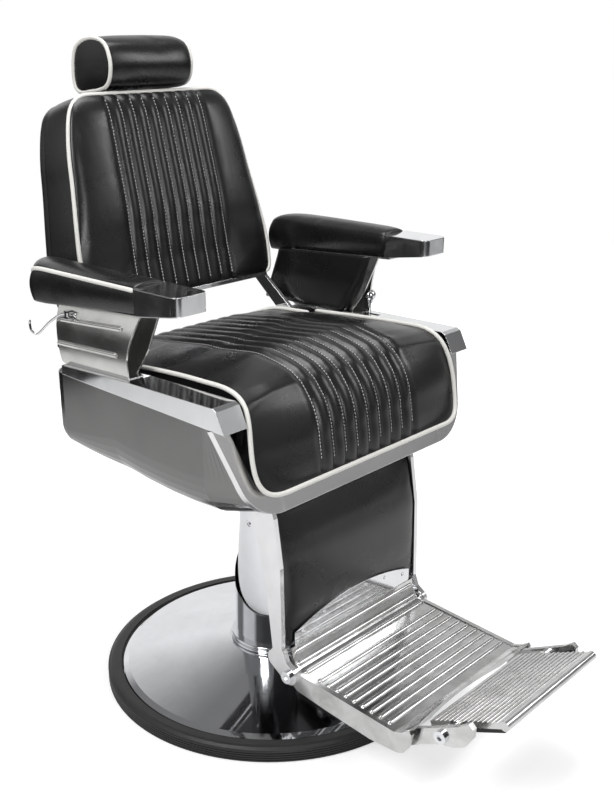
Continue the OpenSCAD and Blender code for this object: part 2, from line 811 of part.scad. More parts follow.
module leg_brackets() {
    color([0.5, 0.51, 0.53])
        both_sides() difference() {
            along_x(192, 198) {
                disc(pivot_leg, 13.8);
                polygon([[-173.5, 468], [-173.5, tube_z0], [-126, tube_z0], [-126, 472], [-152, 457]]);
            }
            pin_x(pivot_leg, pin_r, 180, 205);
        }
}

// Two cheeks under the rail with the pin of the recline lever
module lever_bracket() {
    color([0.12, 0.12, 0.13])
        for (x = [283, 299])
            difference() {
                along_x(x, x + 4) {
                    disc([10, 600], 9);
                    polygon([[1, 600], [19, 600], [19, lookup(19, rail_under)],
                        [1, lookup(1, rail_under)]]);
                }
                pin_x([10, 600], 4, x - 1, x + 5);
            }
    color([0.5, 0.51, 0.53]) pin_x([10, 600], 4, 283, 303);
}

// ---------------------------------------------------------------- back

// Stands the children in the frame of the backrest: y is depth, z runs up the front face
module back_place() {
    translate([0, back_y, back_z]) rotate([-back_tilt, 0, 0]) children();
}

// Frame of the rear face inside the backrest frame; y is counted backwards from the face
module rear_face() {
    back_place() translate([0, back_depth, 0]) rotate([back_taper, 0, 0]) children();
}

// Side-view point of the backrest frame
function back_point(u, v) = [back_y + u * cos(back_tilt) + v * sin(back_tilt),
    back_z - u * sin(back_tilt) + v * cos(back_tilt)];

// Bell cranks: up to the bottom rail, round the pivot and down to the crossbar
module back_links() {
    foot_a = back_point(26, -8.2);
    foot_b = back_point(56, -8.2);
    color([0.8, 0.82, 0.85])
        both_sides() difference() {
            along_x(back_link_x0, back_link_x1) {
                disc(pivot_back, 15);
                disc(link_pin_back, 13);
                polygon([foot_a, foot_b, pivot_back + [12, -9], pivot_back + [-10, 11]]);
                polygon([pivot_back + [-14, 0], pivot_back + [14, 0],
                    link_pin_back + [11, 0], link_pin_back + [-11, 0]]);
            }
            pin_x(pivot_back, pin_r + pin_gap, back_link_x0 - 1, back_link_x1 + 1);
            pin_x(link_pin_back, pin_r, back_link_x0 - 1, back_link_x1 + 1);
        }
}

module crossbar() {
    color([0.5, 0.51, 0.53]) pin_x(link_pin_back, pin_r, -back_link_x1, back_link_x1);
}

// Chrome bottom rail under the back cushion, with ears over the bell cranks
module back_rail() {
    color([0.8, 0.82, 0.85])
        back_place() {
            translate([-214, 1, -8.2]) cube([428, 70, 8]);
            translate([-back_link_x1, 26, -8.2]) cube([2 * back_link_x1, 30, 8]);
        }
}

// Outline of the backrest seen square on, set in by d
module back_outline(d, v0, v1) {
    rows = [for (r = back_rows) if (r[0] >= v0 && r[0] <= v1) [r[1] - d, r[0]]];
    n = len(rows);
    polygon(concat(rows, [for (i = [n - 1:-1:0]) [-rows[i][0], rows[i][1]]]));
}

module back_plate() {
    color([0.12, 0.12, 0.13])
        rear_face() translate([0, -shell_t, 0]) rotate([90, 0, 0])
            linear_extrude(height = plate_t) back_outline(6, 3, 368);
}

// Powers of the fall of the crown towards the sides of the back
back_fall = [2.6, 0.45];

function back_ring(row) = let (
    v = row[0],
    half = row[1],
    deep = back_depth - (shell_t + plate_t) / cos(back_taper) - v * tan(back_taper) - 0.2,
    top = [for (x = flute_x(half, back_flute)) [x, -crown_at(x, half, row[2], back_flute, back_fall), v]])
    concat(top, [[half - 1, deep / 2, v], [half - 2, deep, v], [2 - half, deep, v],
        [1 - half, deep / 2, v]]);

module back_cushion() {
    color([0.07, 0.07, 0.08])
        back_place() loft([for (i = [len(back_rows) - 1:-1:0]) back_ring(back_rows[i])]);
}

// Upholstered rear board with the pocket for the headrest socket
module back_shell() {
    color([0.07, 0.07, 0.08])
        rear_face()
            difference() {
                rotate([90, 0, 0]) linear_extrude(height = shell_t) back_outline(0, 0, back_h);
                translate([-socket_w / 2, -shell_t - 1, back_h - socket_drop])
                    cube([socket_w, socket_t + 1, 300]);
            }
}

module headrest_socket() {
    low = back_h - socket_drop;
    color([0.12, 0.12, 0.13])
        rear_face()
            difference() {
                translate([-socket_w / 2, -shell_t, low]) cube([socket_w, socket_t, socket_drop - 2]);
                translate([-post_w / 2 - 0.3, -post_n - post_t / 2 - 0.1, low + 6])
                    cube([post_w + 0.6, post_t + 0.2, 400]);
            }
}

// Flat post with a plate under the headrest
module headrest_post() {
    color([0.8, 0.82, 0.85]) {
        rear_face() translate([-post_w / 2, -post_n - post_t / 2, back_h - socket_drop + 10])
            cube([post_w, post_t, socket_drop + 4.2]);
        along_x(-30, 30) polygon([[335, 1085], [391, 1078], [391, 1074], [335, 1081]]);
    }
}

headrest_side = [[384, 1080], [400, 1089], [405, 1111], [402, 1142], [391, 1164], [364, 1177],
    [330, 1178.5], [304, 1167], [292, 1138], [295.5, 1109], [309, 1093], [332, 1086], [358, 1082.5]];
headrest_ends = [[-99, 0.9], [-95, 0.97], [-86, 1], [-50, 1.015], [0, 1.02], [50, 1.015], [86, 1],
    [95, 0.97], [99, 0.9]];

module headrest_cushion() {
    mid = centre(headrest_side);
    base_line = function (y) 1079.5 + (381 - y) * 0.125;
    color([0.07, 0.07, 0.08])
        loft([for (e = headrest_ends) [for (q = closed_curve(headrest_side, 2))
            let (p = mid + (q - mid) * e[1]) [e[0], p[0], max(p[1], base_line(p[0]))]]]);
}

// ---------------------------------------------------------------- leg rest

leg_bar_side = [[-187, 430], [-200, 343], [-203, 190], [-181, 190], [-166, 311], [-138, 423],
    [-148, 474], [-172, 474]];

// Flat leg bar with its pivot eye at the top
module leg_bar() {
    difference() {
        along_x(bar_x0, bar_x1) {
            polygon(leg_bar_side);
            disc(pivot_leg, 13.8);
        }
        pin_x(pivot_leg, pin_r + pin_gap, bar_x0 - 1, bar_x1 + 1);
    }
}

module left_leg_bar() {
    color([0.8, 0.82, 0.85]) {
        leg_bar();
        pin_x(link_pin_leg, 6, bar_x1 - 0.5, link_x1 + 4);
    }
}

module right_leg_bar() {
    color([0.8, 0.82, 0.85]) mirror([1, 0, 0]) leg_bar();
}

// Front face of the calf board: y against z
calf_back = [[190, -192], [311, -177], [425, -150]];

module calf_board() {
    face = [for (q = calf_back) [q[1], q[0]]];
    rear = [for (i = [len(face) - 1:-1:0]) face[i] + [8, 0]];
    color([0.3, 0.2, 0.14]) along_x(-bar_x0, bar_x0) polygon(concat(face, rear));
}

// Rows up the calf pad: z, front y, crown
calf_rows = [
    [190, -198, 1], [196, -200, 2], [230, -201, 3], [266, -201, 4], [311, -200, 5], [343, -199, 6],
    [380, -192.5, 6], [412, -186, 3], [428, -181, 2], [436, -176, 1.5], [442, -168, 0.5]];

function calf_ring(row) = let (
    half = bar_x0 - 0.3,
    back = lookup(row[0], calf_back) - 0.2,
    across = [-1, -0.97, -0.9, -0.7, -0.35, 0, 0.35, 0.7, 0.9, 0.97, 1])
    concat([for (a = across) [a * half, row[1] + 3 - (3 + row[2]) * pow(1 - pow(abs(a), 6), 0.5), row[0]]],
        [[half, back, row[0]], [-half, back, row[0]]]);

module calf_pad() {
    color([0.07, 0.07, 0.08]) loft([for (i = [len(calf_rows) - 1:-1:0]) calf_ring(calf_rows[i])]);
}

// Kick plate with an arched top edge
module kick_plate() {
    half = 160;
    side_z = 214;
    apex_z = 241;
    rise = apex_z - side_z;
    arch_r = (half * half + rise * rise) / (2 * rise);
    color([0.8, 0.82, 0.85])
        translate([0, -205, 0]) rotate([90, 0, 0]) translate([0, 0, -0.6])
            linear_extrude(height = 2.4)
                intersection() {
                    translate([-half, 190]) square([2 * half, 80]);
                    translate([0, apex_z - arch_r]) circle(r = arch_r, $fn = 180);
                }
}

// Cast lugs that carry the footrest from the lower ends of the leg bars
module foot_lugs() {
    color([0.8, 0.82, 0.85])
        both_sides() difference() {
            along_x(foot_x, bar_x1 - 2) {
                bar_outline([-184, 168], [-217, 146], 16);
                polygon([[-203, 190], [-181, 190], [-172, 176], [-184, 160], [-218, 151]]);
            }
            pin_x(foot_bolt, 6, foot_x - 1, bar_x1);
        }
}

// Height of the footrest's top face at y, before the curl
function foot_top(y) = foot_rear[1] - (foot_rear[0] - y) * tan(foot_slope);

curl_c = [foot_curl_y - foot_curl_r, foot_top(foot_curl_y - foot_curl_r) + foot_curl_r / cos(foot_slope)];
curl_a0 = -90 + foot_slope;

// Footrest plate in side view: flat with an upturned front lip and a curled rear
module foot_profile() {
    steps = 12;
    top_arc = [for (i = [0:steps]) let (a = curl_a0 + i * (0 - curl_a0) / steps)
        curl_c + foot_curl_r * [cos(a), sin(a)]];
    low_arc = [for (i = [steps:-1:0]) let (a = curl_a0 + i * (0 - curl_a0) / steps)
        curl_c + (foot_curl_r + foot_t) * [cos(a), sin(a)]];
    polygon(concat([[-467, 147], [-462, 147.5], [-450, 138], [-436, foot_top(-436)]], top_arc,
        [[foot_curl_y, foot_top_z], [foot_curl_y + foot_t, foot_top_z]], low_arc,
        [[-436, foot_top(-436) - foot_t], [-454, 130]]));
}

// One rib across the plate with round ends, centred on p and raised by foot_rib_h
module foot_rib(p, half) {
    translate([0, p[0], p[1]]) rotate([0, 90, 0])
        rotate_extrude($fn = 48)
            intersection() {
                union() {
                    translate([-foot_rib_r, foot_rib_r - half])
                        square([2 * foot_rib_r, 2 * (half - foot_rib_r)]);
                    disc([0, half - foot_rib_r], foot_rib_r);
                    disc([0, foot_rib_r - half], foot_rib_r);
                }
                translate([0, -half - 1]) square([foot_rib_r + 1, 2 * half + 2]);
            }
}

flange_side = [[-205, 158], [-222, 152], [-237, 151], [-436, 135], [-452, 141], [-466, 150], [-470, 144],
    [-464, 116], [-456, 105], [-444, 99.5], [-420, 98.5], [-387, 98], [-300, 107.5], [-229, 117],
    [-202, 133]];
front_arm_side = [[-440, 134], [-466, 146], [-500, 163], [-545, 186], [-563, 199], [-571, 192], [-570, 176],
    [-558, 156], [-535, 144], [-515, 140], [-480, 124], [-455, 108], [-440, 106]];

// Ribbed cast footrest: plate, side flanges, front arms with bosses and stops for the step
module foot_plate() {
    inner = foot_x - flange_t;
    sink = foot_rib_r - foot_rib_h;
    front_r = 572;
    turn = foot_pitch / (foot_curl_r - sink);
    color([0.83, 0.84, 0.86])
        difference() {
            union() {
                difference() {
                    along_x(-inner, inner) foot_profile();
                    translate([0, -445 - front_r, 100]) cylinder(r = front_r, h = 100, $fn = 360);
                }
                both_sides() {
                    along_x(inner, foot_x) {
                        polygon(flange_side);
                        disc(foot_bolt, 17);
                    }
                    along_x(150, 160) polygon(front_arm_side);
                    pin_x(step_pivot, 11, 138.2, 150);
                    pin_x([-550, 162.3], 5, 126, 150);
                }
                for (i = [0:foot_ribs_flat - 1]) let (y = foot_rib_last + i * foot_pitch)
                    foot_rib([y, foot_top(y) - sink], inner - 2);
                for (i = [0:2]) let (a = curl_a0 + 12 + i * turn * 57)
                    foot_rib(curl_c + (foot_curl_r + sink) * [cos(a), sin(a)], inner - 2);
            }
            both_sides() {
                pin_x(foot_bolt, 6, 160, foot_x + 1);
                pin_x(step_pivot, step_pin_r, 130, 165);
            }
        }
}

module foot_bolts() {
    color([0.8, 0.82, 0.85])
        both_sides() {
            pin_x(foot_bolt, 6, 166, bar_x1 - 2);
            difference() {
                pin_x(foot_bolt, 11, bar_x1 - 2, bar_x1 + 4);
                translate([bar_x1 + 1, foot_bolt[0], foot_bolt[1]]) rotate([0, 90, 0])
                    cylinder(r = 5.5, h = 5, $fn = 6);
            }
        }
}

module step_pins() {
    color([0.8, 0.82, 0.85])
        both_sides() {
            pin_x(step_pivot, step_pin_r, 122, 160);
            difference() {
                pin_x(step_pivot, 11, 160, 166);
                translate([163, step_pivot[0], step_pivot[1]]) rotate([0, 90, 0])
                    cylinder(r = 5.5, h = 5, $fn = 6);
            }
        }
}

// ---------------------------------------------------------------- step

// Turns a flat outline [distance from the rear edge, height] into the side view of the step
module step_place() {
    translate(step_edge) rotate(-step_angle) mirror([1, 0]) children();
}

module step_flap() {
    color([0.83, 0.84, 0.86])
        difference() {
            union() {
                along_x(-step_x, step_x)
                    step_place() {
                        translate([1, -step_t]) square([step_len - 10, step_t - 2]);
                        disc([step_len - 8, -8], 8);
                        for (i = [0:step_ribs - 1]) disc([10 + i * step_pitch, -step_rib_r], step_rib_r);
                    }
                both_sides() along_x(123, step_x) step_place() disc(step_local, 11);
            }
            both_sides() {
                pin_x(step_pivot, step_pin_r + pin_gap, 110, step_x + 1);
                translate([step_x, -740, 0]) rotate([0, 0, 1.4]) cube([20, 300, 400]);
            }
        }
}

module step_rubber() {
    color([0.06, 0.06, 0.06])
        along_x(-118, 118)
            step_place()
                difference() {
                    union() {
                        translate([56, -26]) square([75, 14]);
                        translate([48, -20]) square([91, 8]);
                        disc([56, -18], 8);
                        disc([131, -18], 8);
                    }
                    translate([40, -12]) square([130, 20]);
                }
}

// ---------------------------------------------------------------- linkage and small controls

module leg_link() {
    color([0.5, 0.51, 0.53])
        difference() {
            along_x(link_x0, link_x1) {
                disc(link_pin_back, 13);
                disc(link_pin_leg, 11);
                bar_outline(link_pin_back, link_pin_leg, 6.5);
            }
            pin_x(link_pin_back, pin_r + pin_gap, link_x0 - 1, link_x1 + 1);
            pin_x(link_pin_leg, 7, link_x0 - 1, link_x1 + 1);
        }
}

module lever_rod() {
    color([0.8, 0.82, 0.85])
        difference() {
            union() {
                pin_x([10, 600], 8, 290, 298);
                translate([294, 10, 600]) cylinder(r = 3.5, h = 84);
            }
            pin_x([10, 600], 4 + pin_gap, 289, 299);
        }
}

module lever_knob() {
    color([0.85, 0.86, 0.88])
        difference() {
            union() {
                translate([294, 10, 692]) sphere(r = 12);
                translate([294, 10, 676]) cylinder(r = 6, h = 6);
            }
            translate([294, 10, 670]) cylinder(r = 3.5, h = 14);
        }
}

// Curve through a few points that starts and ends on the first and last of them
function open_curve(p, k) = let (n = len(p), q = concat([2 * p[0] - p[1]], p, [2 * p[n - 1] - p[n - 2]]))
    concat([for (i = [1:n - 1]) for (j = [0:k - 1]) blend4(q[i - 1], q[i], q[i + 1], q[i + 2], j / k)],
        [p[n - 1]]);

// Round bar of radius r along a curve in the side view at x, tapered over its last two rings
module wire(line, x, r) {
    n = len(line);
    sides = 10;
    loft([for (i = [0:n - 1]) let (
        d = line[min(i + 1, n - 1)] - line[max(i - 1, 0)],
        u = [-d[1], d[0]] / norm(d),
        rr = i == n - 1 ? 0.6 * r : r)
        [for (j = [0:sides - 1]) let (a = 360 * j / sides)
            [x + rr * cos(a), line[i][0] + rr * sin(a) * u[0], line[i][1] + rr * sin(a) * u[1]]]]);
}

// Bent wire of the towel hook with the sleeve that turns on the upright pin
module towel_hook() {
    bend = [[175.5, 739.5], [190, 736], [208, 726], [230, 712], [255, 692.5], [270, 687.5],
        [281, 692.5], [283.5, 703], [282.5, 710]];
    color([0.8, 0.82, 0.85]) {
        wire(open_curve(bend, 3), hook_pin[0], 2);
        difference() {
            translate([hook_pin[0], hook_pin[1], 735.1]) cylinder(r = 4, h = 6.5);
            translate([hook_pin[0], hook_pin[1], 730]) cylinder(r = 1.5 + pin_gap, h = 14);
        }
    }
}

base_rim();
base_cover();
base_casting();
base_bolts();
pump_flange();
pump_shroud();
pump_reservoir();
pump_barrel();
pedal_arm();
pedal_pad();
ram();
thrust_ring();
swivel_hub();
column_sleeve();
sleeve_bolt();
under_frame();
pivot_pins();
left_rail();
right_rail();
left_skirt();
right_skirt();
front_band();
seat_board();
seat_cushion();
left_arm_frame();
right_arm_frame();
left_arm_panel();
right_arm_panel();
left_arm_pad();
right_arm_pad();
left_arm_tip();
right_arm_tip();
hook_staple();
hinge_blocks();
leg_brackets();
lever_bracket();
back_links();
crossbar();
back_rail();
back_plate();
back_cushion();
back_shell();
headrest_socket();
headrest_post();
headrest_cushion();
left_leg_bar();
right_leg_bar();
calf_board();
calf_pad();
kick_plate();
foot_lugs();
foot_plate();
foot_bolts();
step_pins();
step_flap();
step_rubber();
leg_link();
lever_rod();
lever_knob();
towel_hook();
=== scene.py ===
import math

import bmesh
import bpy
import numpy as np
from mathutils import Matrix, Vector


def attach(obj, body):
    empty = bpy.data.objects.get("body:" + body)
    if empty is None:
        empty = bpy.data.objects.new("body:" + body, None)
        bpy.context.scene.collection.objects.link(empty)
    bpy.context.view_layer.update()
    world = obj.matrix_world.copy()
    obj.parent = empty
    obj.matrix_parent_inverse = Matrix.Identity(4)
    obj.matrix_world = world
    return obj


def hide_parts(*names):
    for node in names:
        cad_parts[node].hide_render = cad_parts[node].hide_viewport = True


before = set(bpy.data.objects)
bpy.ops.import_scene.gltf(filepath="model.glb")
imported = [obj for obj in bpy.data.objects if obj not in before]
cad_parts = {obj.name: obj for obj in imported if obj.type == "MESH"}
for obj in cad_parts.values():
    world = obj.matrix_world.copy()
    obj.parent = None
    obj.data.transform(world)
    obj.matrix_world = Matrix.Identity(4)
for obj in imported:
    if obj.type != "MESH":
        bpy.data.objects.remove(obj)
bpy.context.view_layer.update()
scene = bpy.context.scene
MM = 0.001

# ------------------------------------------------------------------ camera
# A view of the sitter's right front corner from just under shoulder height, through a
# lens a little longer than normal.

camera = bpy.data.objects.new("camera", bpy.data.cameras.new("camera"))
camera.location = (-1.3663, -1.3274, 1.1957)
camera.rotation_euler = (math.radians(71.2), 0, math.radians(-47.8))
camera.data.lens = 49.32
camera.data.sensor_width = 36
scene.collection.objects.link(camera)
scene.camera = camera

# ------------------------------------------------------------------ rubber rim
# Moulded rubber ring pressed over the edge of the base, with five ribs round its side.
# It is dull black, with dust on its upper face.


def add(tree, kind, inputs=None, **settings):
    """Adds a node, sets its properties and sets or links its inputs."""
    node = tree.nodes.new(kind)
    for key, value in settings.items():
        setattr(node, key, value)
    for key, value in (inputs or {}).items():
        if isinstance(value, bpy.types.NodeSocket):
            tree.links.new(value, node.inputs[key])
        else:
            node.inputs[key].default_value = value
    return node


def mix_colour(tree, factor, a, b, blend="MIX"):
    return add(tree, "ShaderNodeMix", {0: factor, 6: a, 7: b},
               data_type="RGBA", blend_type=blend).outputs[2]


def mix_value(tree, factor, a, b):
    return add(tree, "ShaderNodeMix", {0: factor, 2: a, 3: b}, data_type="FLOAT").outputs[0]


def own_place(tree):
    """A point's place on its own piece, so that a pattern moves with the piece."""
    return add(tree, "ShaderNodeTexCoord").outputs["Object"]


def maths(tree, operation, *values):
    return add(tree, "ShaderNodeMath", dict(enumerate(values)), operation=operation).outputs[0]


def noise(tree, where, scale, detail, **more):
    return add(tree, "ShaderNodeTexNoise", {"Vector": where, "Scale": scale, "Detail": detail,
                                            **more}).outputs[0]


def ranged(tree, value, low, high, first=0.0, second=1.0):
    """Spreads the values from low to high evenly from first to second."""
    return add(tree, "ShaderNodeMapRange", {"Value": value, "From Min": low, "From Max": high,
                                            "To Min": first, "To Max": second}).outputs[0]


def effect(name, inputs, outputs):
    """Starts a shader node group and returns it with its input and output nodes."""
    group = bpy.data.node_groups.new(name, "ShaderNodeTree")
    for label, start in inputs:
        group.interface.new_socket(name=label, in_out="INPUT",
                                   socket_type="NodeSocketFloat").default_value = start
    for label in outputs:
        group.interface.new_socket(name=label, in_out="OUTPUT", socket_type="NodeSocketFloat")
    given = group.nodes.new("NodeGroupInput").outputs
    return group, given, group.nodes.new("NodeGroupOutput").inputs


def place(tree, group, **values):
    """Places an effect in a material with its own values and returns its outputs."""
    node = tree.nodes.new("ShaderNodeGroup")
    node.node_tree = group
    for key, value in values.items():
        node.inputs[key.replace("_", " ")].default_value = value
    return node.outputs


def finish(name, colour, rough, metal=0.0):
    """Starts a material and returns it with its tree and its Principled shader."""
    material = bpy.data.materials.new(name)
    material.use_nodes = True
    tree = material.node_tree
    shader = tree.nodes["Principled BSDF"]
    shader.inputs["Base Color"].default_value = (*colour, 1)
    shader.inputs["Roughness"].default_value = rough
    shader.inputs["Metallic"].default_value = metal
    return material, tree, shader


def tint(tree, shader, mask, first, second):
    """Runs the colour from the first to the second with a mask."""
    tree.links.new(mix_colour(tree, mask, (*first, 1), (*second, 1)),
                   shader.inputs["Base Color"])


def gloss(tree, shader, mask, first, second):
    """Runs the roughness from the first to the second with a mask."""
    tree.links.new(mix_value(tree, mask, first, second), shader.inputs["Roughness"])


def relief(tree, shader, height, strength, distance, edge=0.0):
    """Feeds a height, and edges rounded off by the given metres, into the shader's normal."""
    bump = add(tree, "ShaderNodeBump", {"Height": height, "Strength": strength,
                                        "Distance": distance})
    if edge:
        rounded = add(tree, "ShaderNodeBevel", {"Radius": edge}, samples=4)
        tree.links.new(rounded.outputs["Normal"], bump.inputs["Normal"])
    tree.links.new(bump.outputs["Normal"], shader.inputs["Normal"])


def dress(material, *names):
    """Gives CAD nodes their finished material."""
    for name in names:
        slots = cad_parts[name].data.materials
        slots.clear()
        slots.append(material)


dust, given, put_out = effect("settled dust", [("Amount", 0.5), ("Scale", 30.0)], ["Mask"])
facing = add(dust, "ShaderNodeSeparateXYZ",
             {"Vector": add(dust, "ShaderNodeNewGeometry").outputs["Normal"]}).outputs["Z"]
upward = ranged(dust, facing, 0.3, 1.0)
specks = noise(dust, own_place(dust), given["Scale"], 8.0, Roughness=0.7)
lying = maths(dust, "MULTIPLY", upward, specks)
dust.links.new(maths(dust, "MULTIPLY", lying, given["Amount"]), put_out["Mask"])

rubber, tree, shader = finish("rim rubber", (0.018, 0.018, 0.018), 0.5)
lying = place(tree, dust, Amount=0.5, Scale=45.0)["Mask"]
pores = noise(tree, own_place(tree), 700.0, 4.0)
tint(tree, shader, lying, (0.014, 0.014, 0.0145), (0.06, 0.058, 0.055))
gloss(tree, shader, pores, 0.36, 0.62)
relief(tree, shader, pores, 0.25, 0.0004)
dress(rubber, "base_rim")

# ------------------------------------------------------------------ base cover
# Dished cover spun from sheet steel and chromed, resting on the casting between the rim
# and the column. The plating is bright, with faint polishing rings and hand marks.

marks, given, put_out = effect("polishing marks", [("Scale", 8.0), ("Smear", 3.0)],
                               ["Cloud", "Ripple", "Scratch"])
where = own_place(marks)
cloud = noise(marks, where, given["Scale"], 5.0, Roughness=0.6, Distortion=0.4)
marks.links.new(ranged(marks, cloud, 0.35, 0.75), put_out["Cloud"])
marks.links.new(noise(marks, where, given["Smear"], 1.0), put_out["Ripple"])
stretched = add(marks, "ShaderNodeMapping", {"Vector": where,
                                             "Scale": (40.0, 40.0, 900.0)}).outputs[0]
marks.links.new(noise(marks, stretched, 1.0, 3.0), put_out["Scratch"])


def plated(name, colour, rough, clouds, haze, waves, edge=0.0, hollow=False):
    """Bright metal with clouds of haze over its gloss and slow waves in its surface; in a
    hollow, where no polishing wheel reaches, it stays dull."""
    material, tree, shader = finish(name, colour, rough, 1.0)
    seen = place(tree, marks, Scale=clouds, Smear=6.0)
    sheen = mix_value(tree, seen["Cloud"], rough, rough + haze)
    if hollow:
        open_to_light = add(tree, "ShaderNodeAmbientOcclusion", {"Distance": 0.05}, samples=4,
                            only_local=True).outputs["AO"]
        sheen = mix_value(tree, ranged(tree, open_to_light, 0.25, 0.5), 0.5, sheen)
    tree.links.new(sheen, shader.inputs["Roughness"])
    tint(tree, shader, seen["Cloud"], colour, [c * 0.9 for c in colour])
    surface = maths(tree, "MULTIPLY_ADD", seen["Scratch"], 0.004, seen["Ripple"])
    relief(tree, shader, surface, waves, 0.02, edge)
    return material


chrome = plated("chrome plate", (0.74, 0.75, 0.77), 0.035, clouds=14.0, haze=0.07, waves=0.02)
dress(chrome, "base_cover", "pump_flange")

# ------------------------------------------------------------------ base casting
# Heavy cast-iron disc with a hub and eight ribs under the cover, painted black over the
# grain of the sand mould. Four bolts from below hold the pump to it.

cast_iron, tree, shader = finish("painted iron", (0.03, 0.03, 0.032), 0.5)
where = own_place(tree)
sand = noise(tree, where, 420.0, 6.0)
chips = add(tree, "ShaderNodeTexVoronoi", {"Vector": where, "Scale": 60.0}).outputs["Distance"]
tint(tree, shader, ranged(tree, chips, 0.09, 0.05), (0.03, 0.03, 0.032), (0.12, 0.1, 0.09))
gloss(tree, shader, sand, 0.38, 0.7)
relief(tree, shader, sand, 0.5, 0.0012)

bare_steel, tree, shader = finish("machined steel", (0.5, 0.5, 0.52), 0.28, 1.0)
turned = place(tree, marks, Scale=40.0, Smear=60.0)
gloss(tree, shader, turned["Scratch"], 0.18, 0.42)
tint(tree, shader, turned["Cloud"], (0.52, 0.52, 0.54), (0.4, 0.39, 0.38))
relief(tree, shader, turned["Scratch"], 0.2, 0.0003)
dress(cast_iron, "base_casting", "pump_reservoir")
dress(bare_steel, "base_bolts", "pump_barrel", "crossbar", "pivot_pins", "hinge_blocks",
      "leg_brackets", "headrest_socket")

# ------------------------------------------------------------------ pump column
# Fixed outer shroud cut off at a slant, and the tapering chromed sleeve that goes down
# over it from the seat. The ram between them is ground steel on a bronze thrust ring.

sleeve_chrome = plated("sleeve chrome", (0.7, 0.71, 0.73), 0.06, clouds=9.0, haze=0.12,
                       waves=0.03)
dress(sleeve_chrome, "column_sleeve")
dress(chrome, "pump_shroud", "sleeve_bolt")

ground_steel, tree, shader = finish("ground ram", (0.6, 0.61, 0.63), 0.12, 1.0)
ground = place(tree, marks, Scale=30.0, Smear=10.0)
gloss(tree, shader, ground["Scratch"], 0.08, 0.2)
relief(tree, shader, ground["Scratch"], 0.1, 0.0002)
dress(ground_steel, "ram")

bronze, tree, shader = finish("bronze ring", (0.62, 0.42, 0.2), 0.3, 1.0)
worn = place(tree, marks, Scale=60.0, Smear=40.0)
tint(tree, shader, worn["Cloud"], (0.66, 0.45, 0.2), (0.32, 0.22, 0.12))
gloss(tree, shader, worn["Cloud"], 0.2, 0.45)
dress(bronze, "thrust_ring")

black_steel, tree, shader = finish("black enamel", (0.025, 0.025, 0.027), 0.35)
coat = place(tree, marks, Scale=20.0, Smear=50.0)
gloss(tree, shader, coat["Cloud"], 0.28, 0.5)
tint(tree, shader, coat["Cloud"], (0.022, 0.022, 0.024), (0.04, 0.039, 0.038))
relief(tree, shader, coat["Ripple"], 0.1, 0.002)
dress(black_steel, "swivel_hub", "under_frame", "back_plate", "calf_board")

# ------------------------------------------------------------------ pump pedal
# Forged lever on a cross pin in the reservoir's lug, chromed, with a moulded rubber pad
# pushed over its end.

pedal_rubber, tree, shader = finish("pedal rubber", (0.02, 0.02, 0.02), 0.6)
scuffs = place(tree, dust, Amount=0.9, Scale=120.0)["Mask"]
tint(tree, shader, scuffs, (0.016, 0.016, 0.016), (0.09, 0.085, 0.08))
relief(tree, shader, scuffs, 0.3, 0.0005)
dress(chrome, "pedal_arm")
dress(pedal_rubber, "pedal_pad", "step_rubber")

# ------------------------------------------------------------------ rails and hull
# Two cast side rails carry the seat on tubes across the chair. Rolled stainless skirts
# hang from them as a boat-shaped hull, closed at the front by a satin U-shaped band.

rail_chrome = plated("rail chrome", (0.76, 0.77, 0.78), 0.05, clouds=11.0, haze=0.08,
                     waves=0.02, edge=0.0016)
dress(rail_chrome, "left_rail", "right_rail")
# The skirts' steel is given a colour far darker than bare stainless: painted shade standing in for
# the darker room that the skirts reflect.
skirt_steel_painted_dark = plated("skirt stainless painted dark", (0.2, 0.2, 0.197), 0.13, clouds=5.0, haze=0.08,
                     waves=0.03)
dress(skirt_steel_painted_dark, "left_skirt", "right_skirt")

band_metal, tree, shader = finish("band satin", (0.78, 0.78, 0.78), 0.2, 1.0)
brushed = place(tree, marks, Scale=10.0, Smear=12.0)
gloss(tree, shader, brushed["Scratch"], 0.16, 0.3)
tint(tree, shader, brushed["Cloud"], (0.8, 0.8, 0.8), (0.72, 0.72, 0.72))
relief(tree, shader, brushed["Scratch"], 0.06, 0.0004, edge=0.0016)
dress(band_metal, "front_band")

# ------------------------------------------------------------------ seat board
# Moulded plywood board, painted black and screwed to the cross tubes; the plies and the
# grain still show through the paint.

plywood, tree, shader = finish("plywood", (0.5, 0.36, 0.22), 0.6)
where = own_place(tree)
plies = add(tree, "ShaderNodeTexWave", {"Vector": where, "Scale": 95.0, "Distortion": 0.6,
                                        "Detail": 2.0}, bands_direction="Z").outputs[0]
along = add(tree, "ShaderNodeMapping", {"Vector": where, "Scale": (12.0, 220.0, 220.0)}).outputs[0]
grain = noise(tree, along, 1.0, 5.0, Distortion=1.2)
shade = maths(tree, "MULTIPLY", plies, grain)
tint(tree, shader, shade, (0.012, 0.011, 0.01), (0.03, 0.028, 0.026))
gloss(tree, shader, grain, 0.5, 0.75)
relief(tree, shader, grain, 0.2, 0.0006)
dress(plywood, "seat_board")

# ------------------------------------------------------------------ seat cushion
# Foam on the board under one black vinyl panel, sewn into eight lengthwise channels and
# widening to its waterfall front. A boxing strip goes down to the board round the sides
# and rear, and white piping is sewn into the seam between them.

flute_steps = 8
cord_radius = 4.0
stitch_size = {"length": 4.4, "gap": 1.7, "width": 1.4}
stitch_lift = 0.9


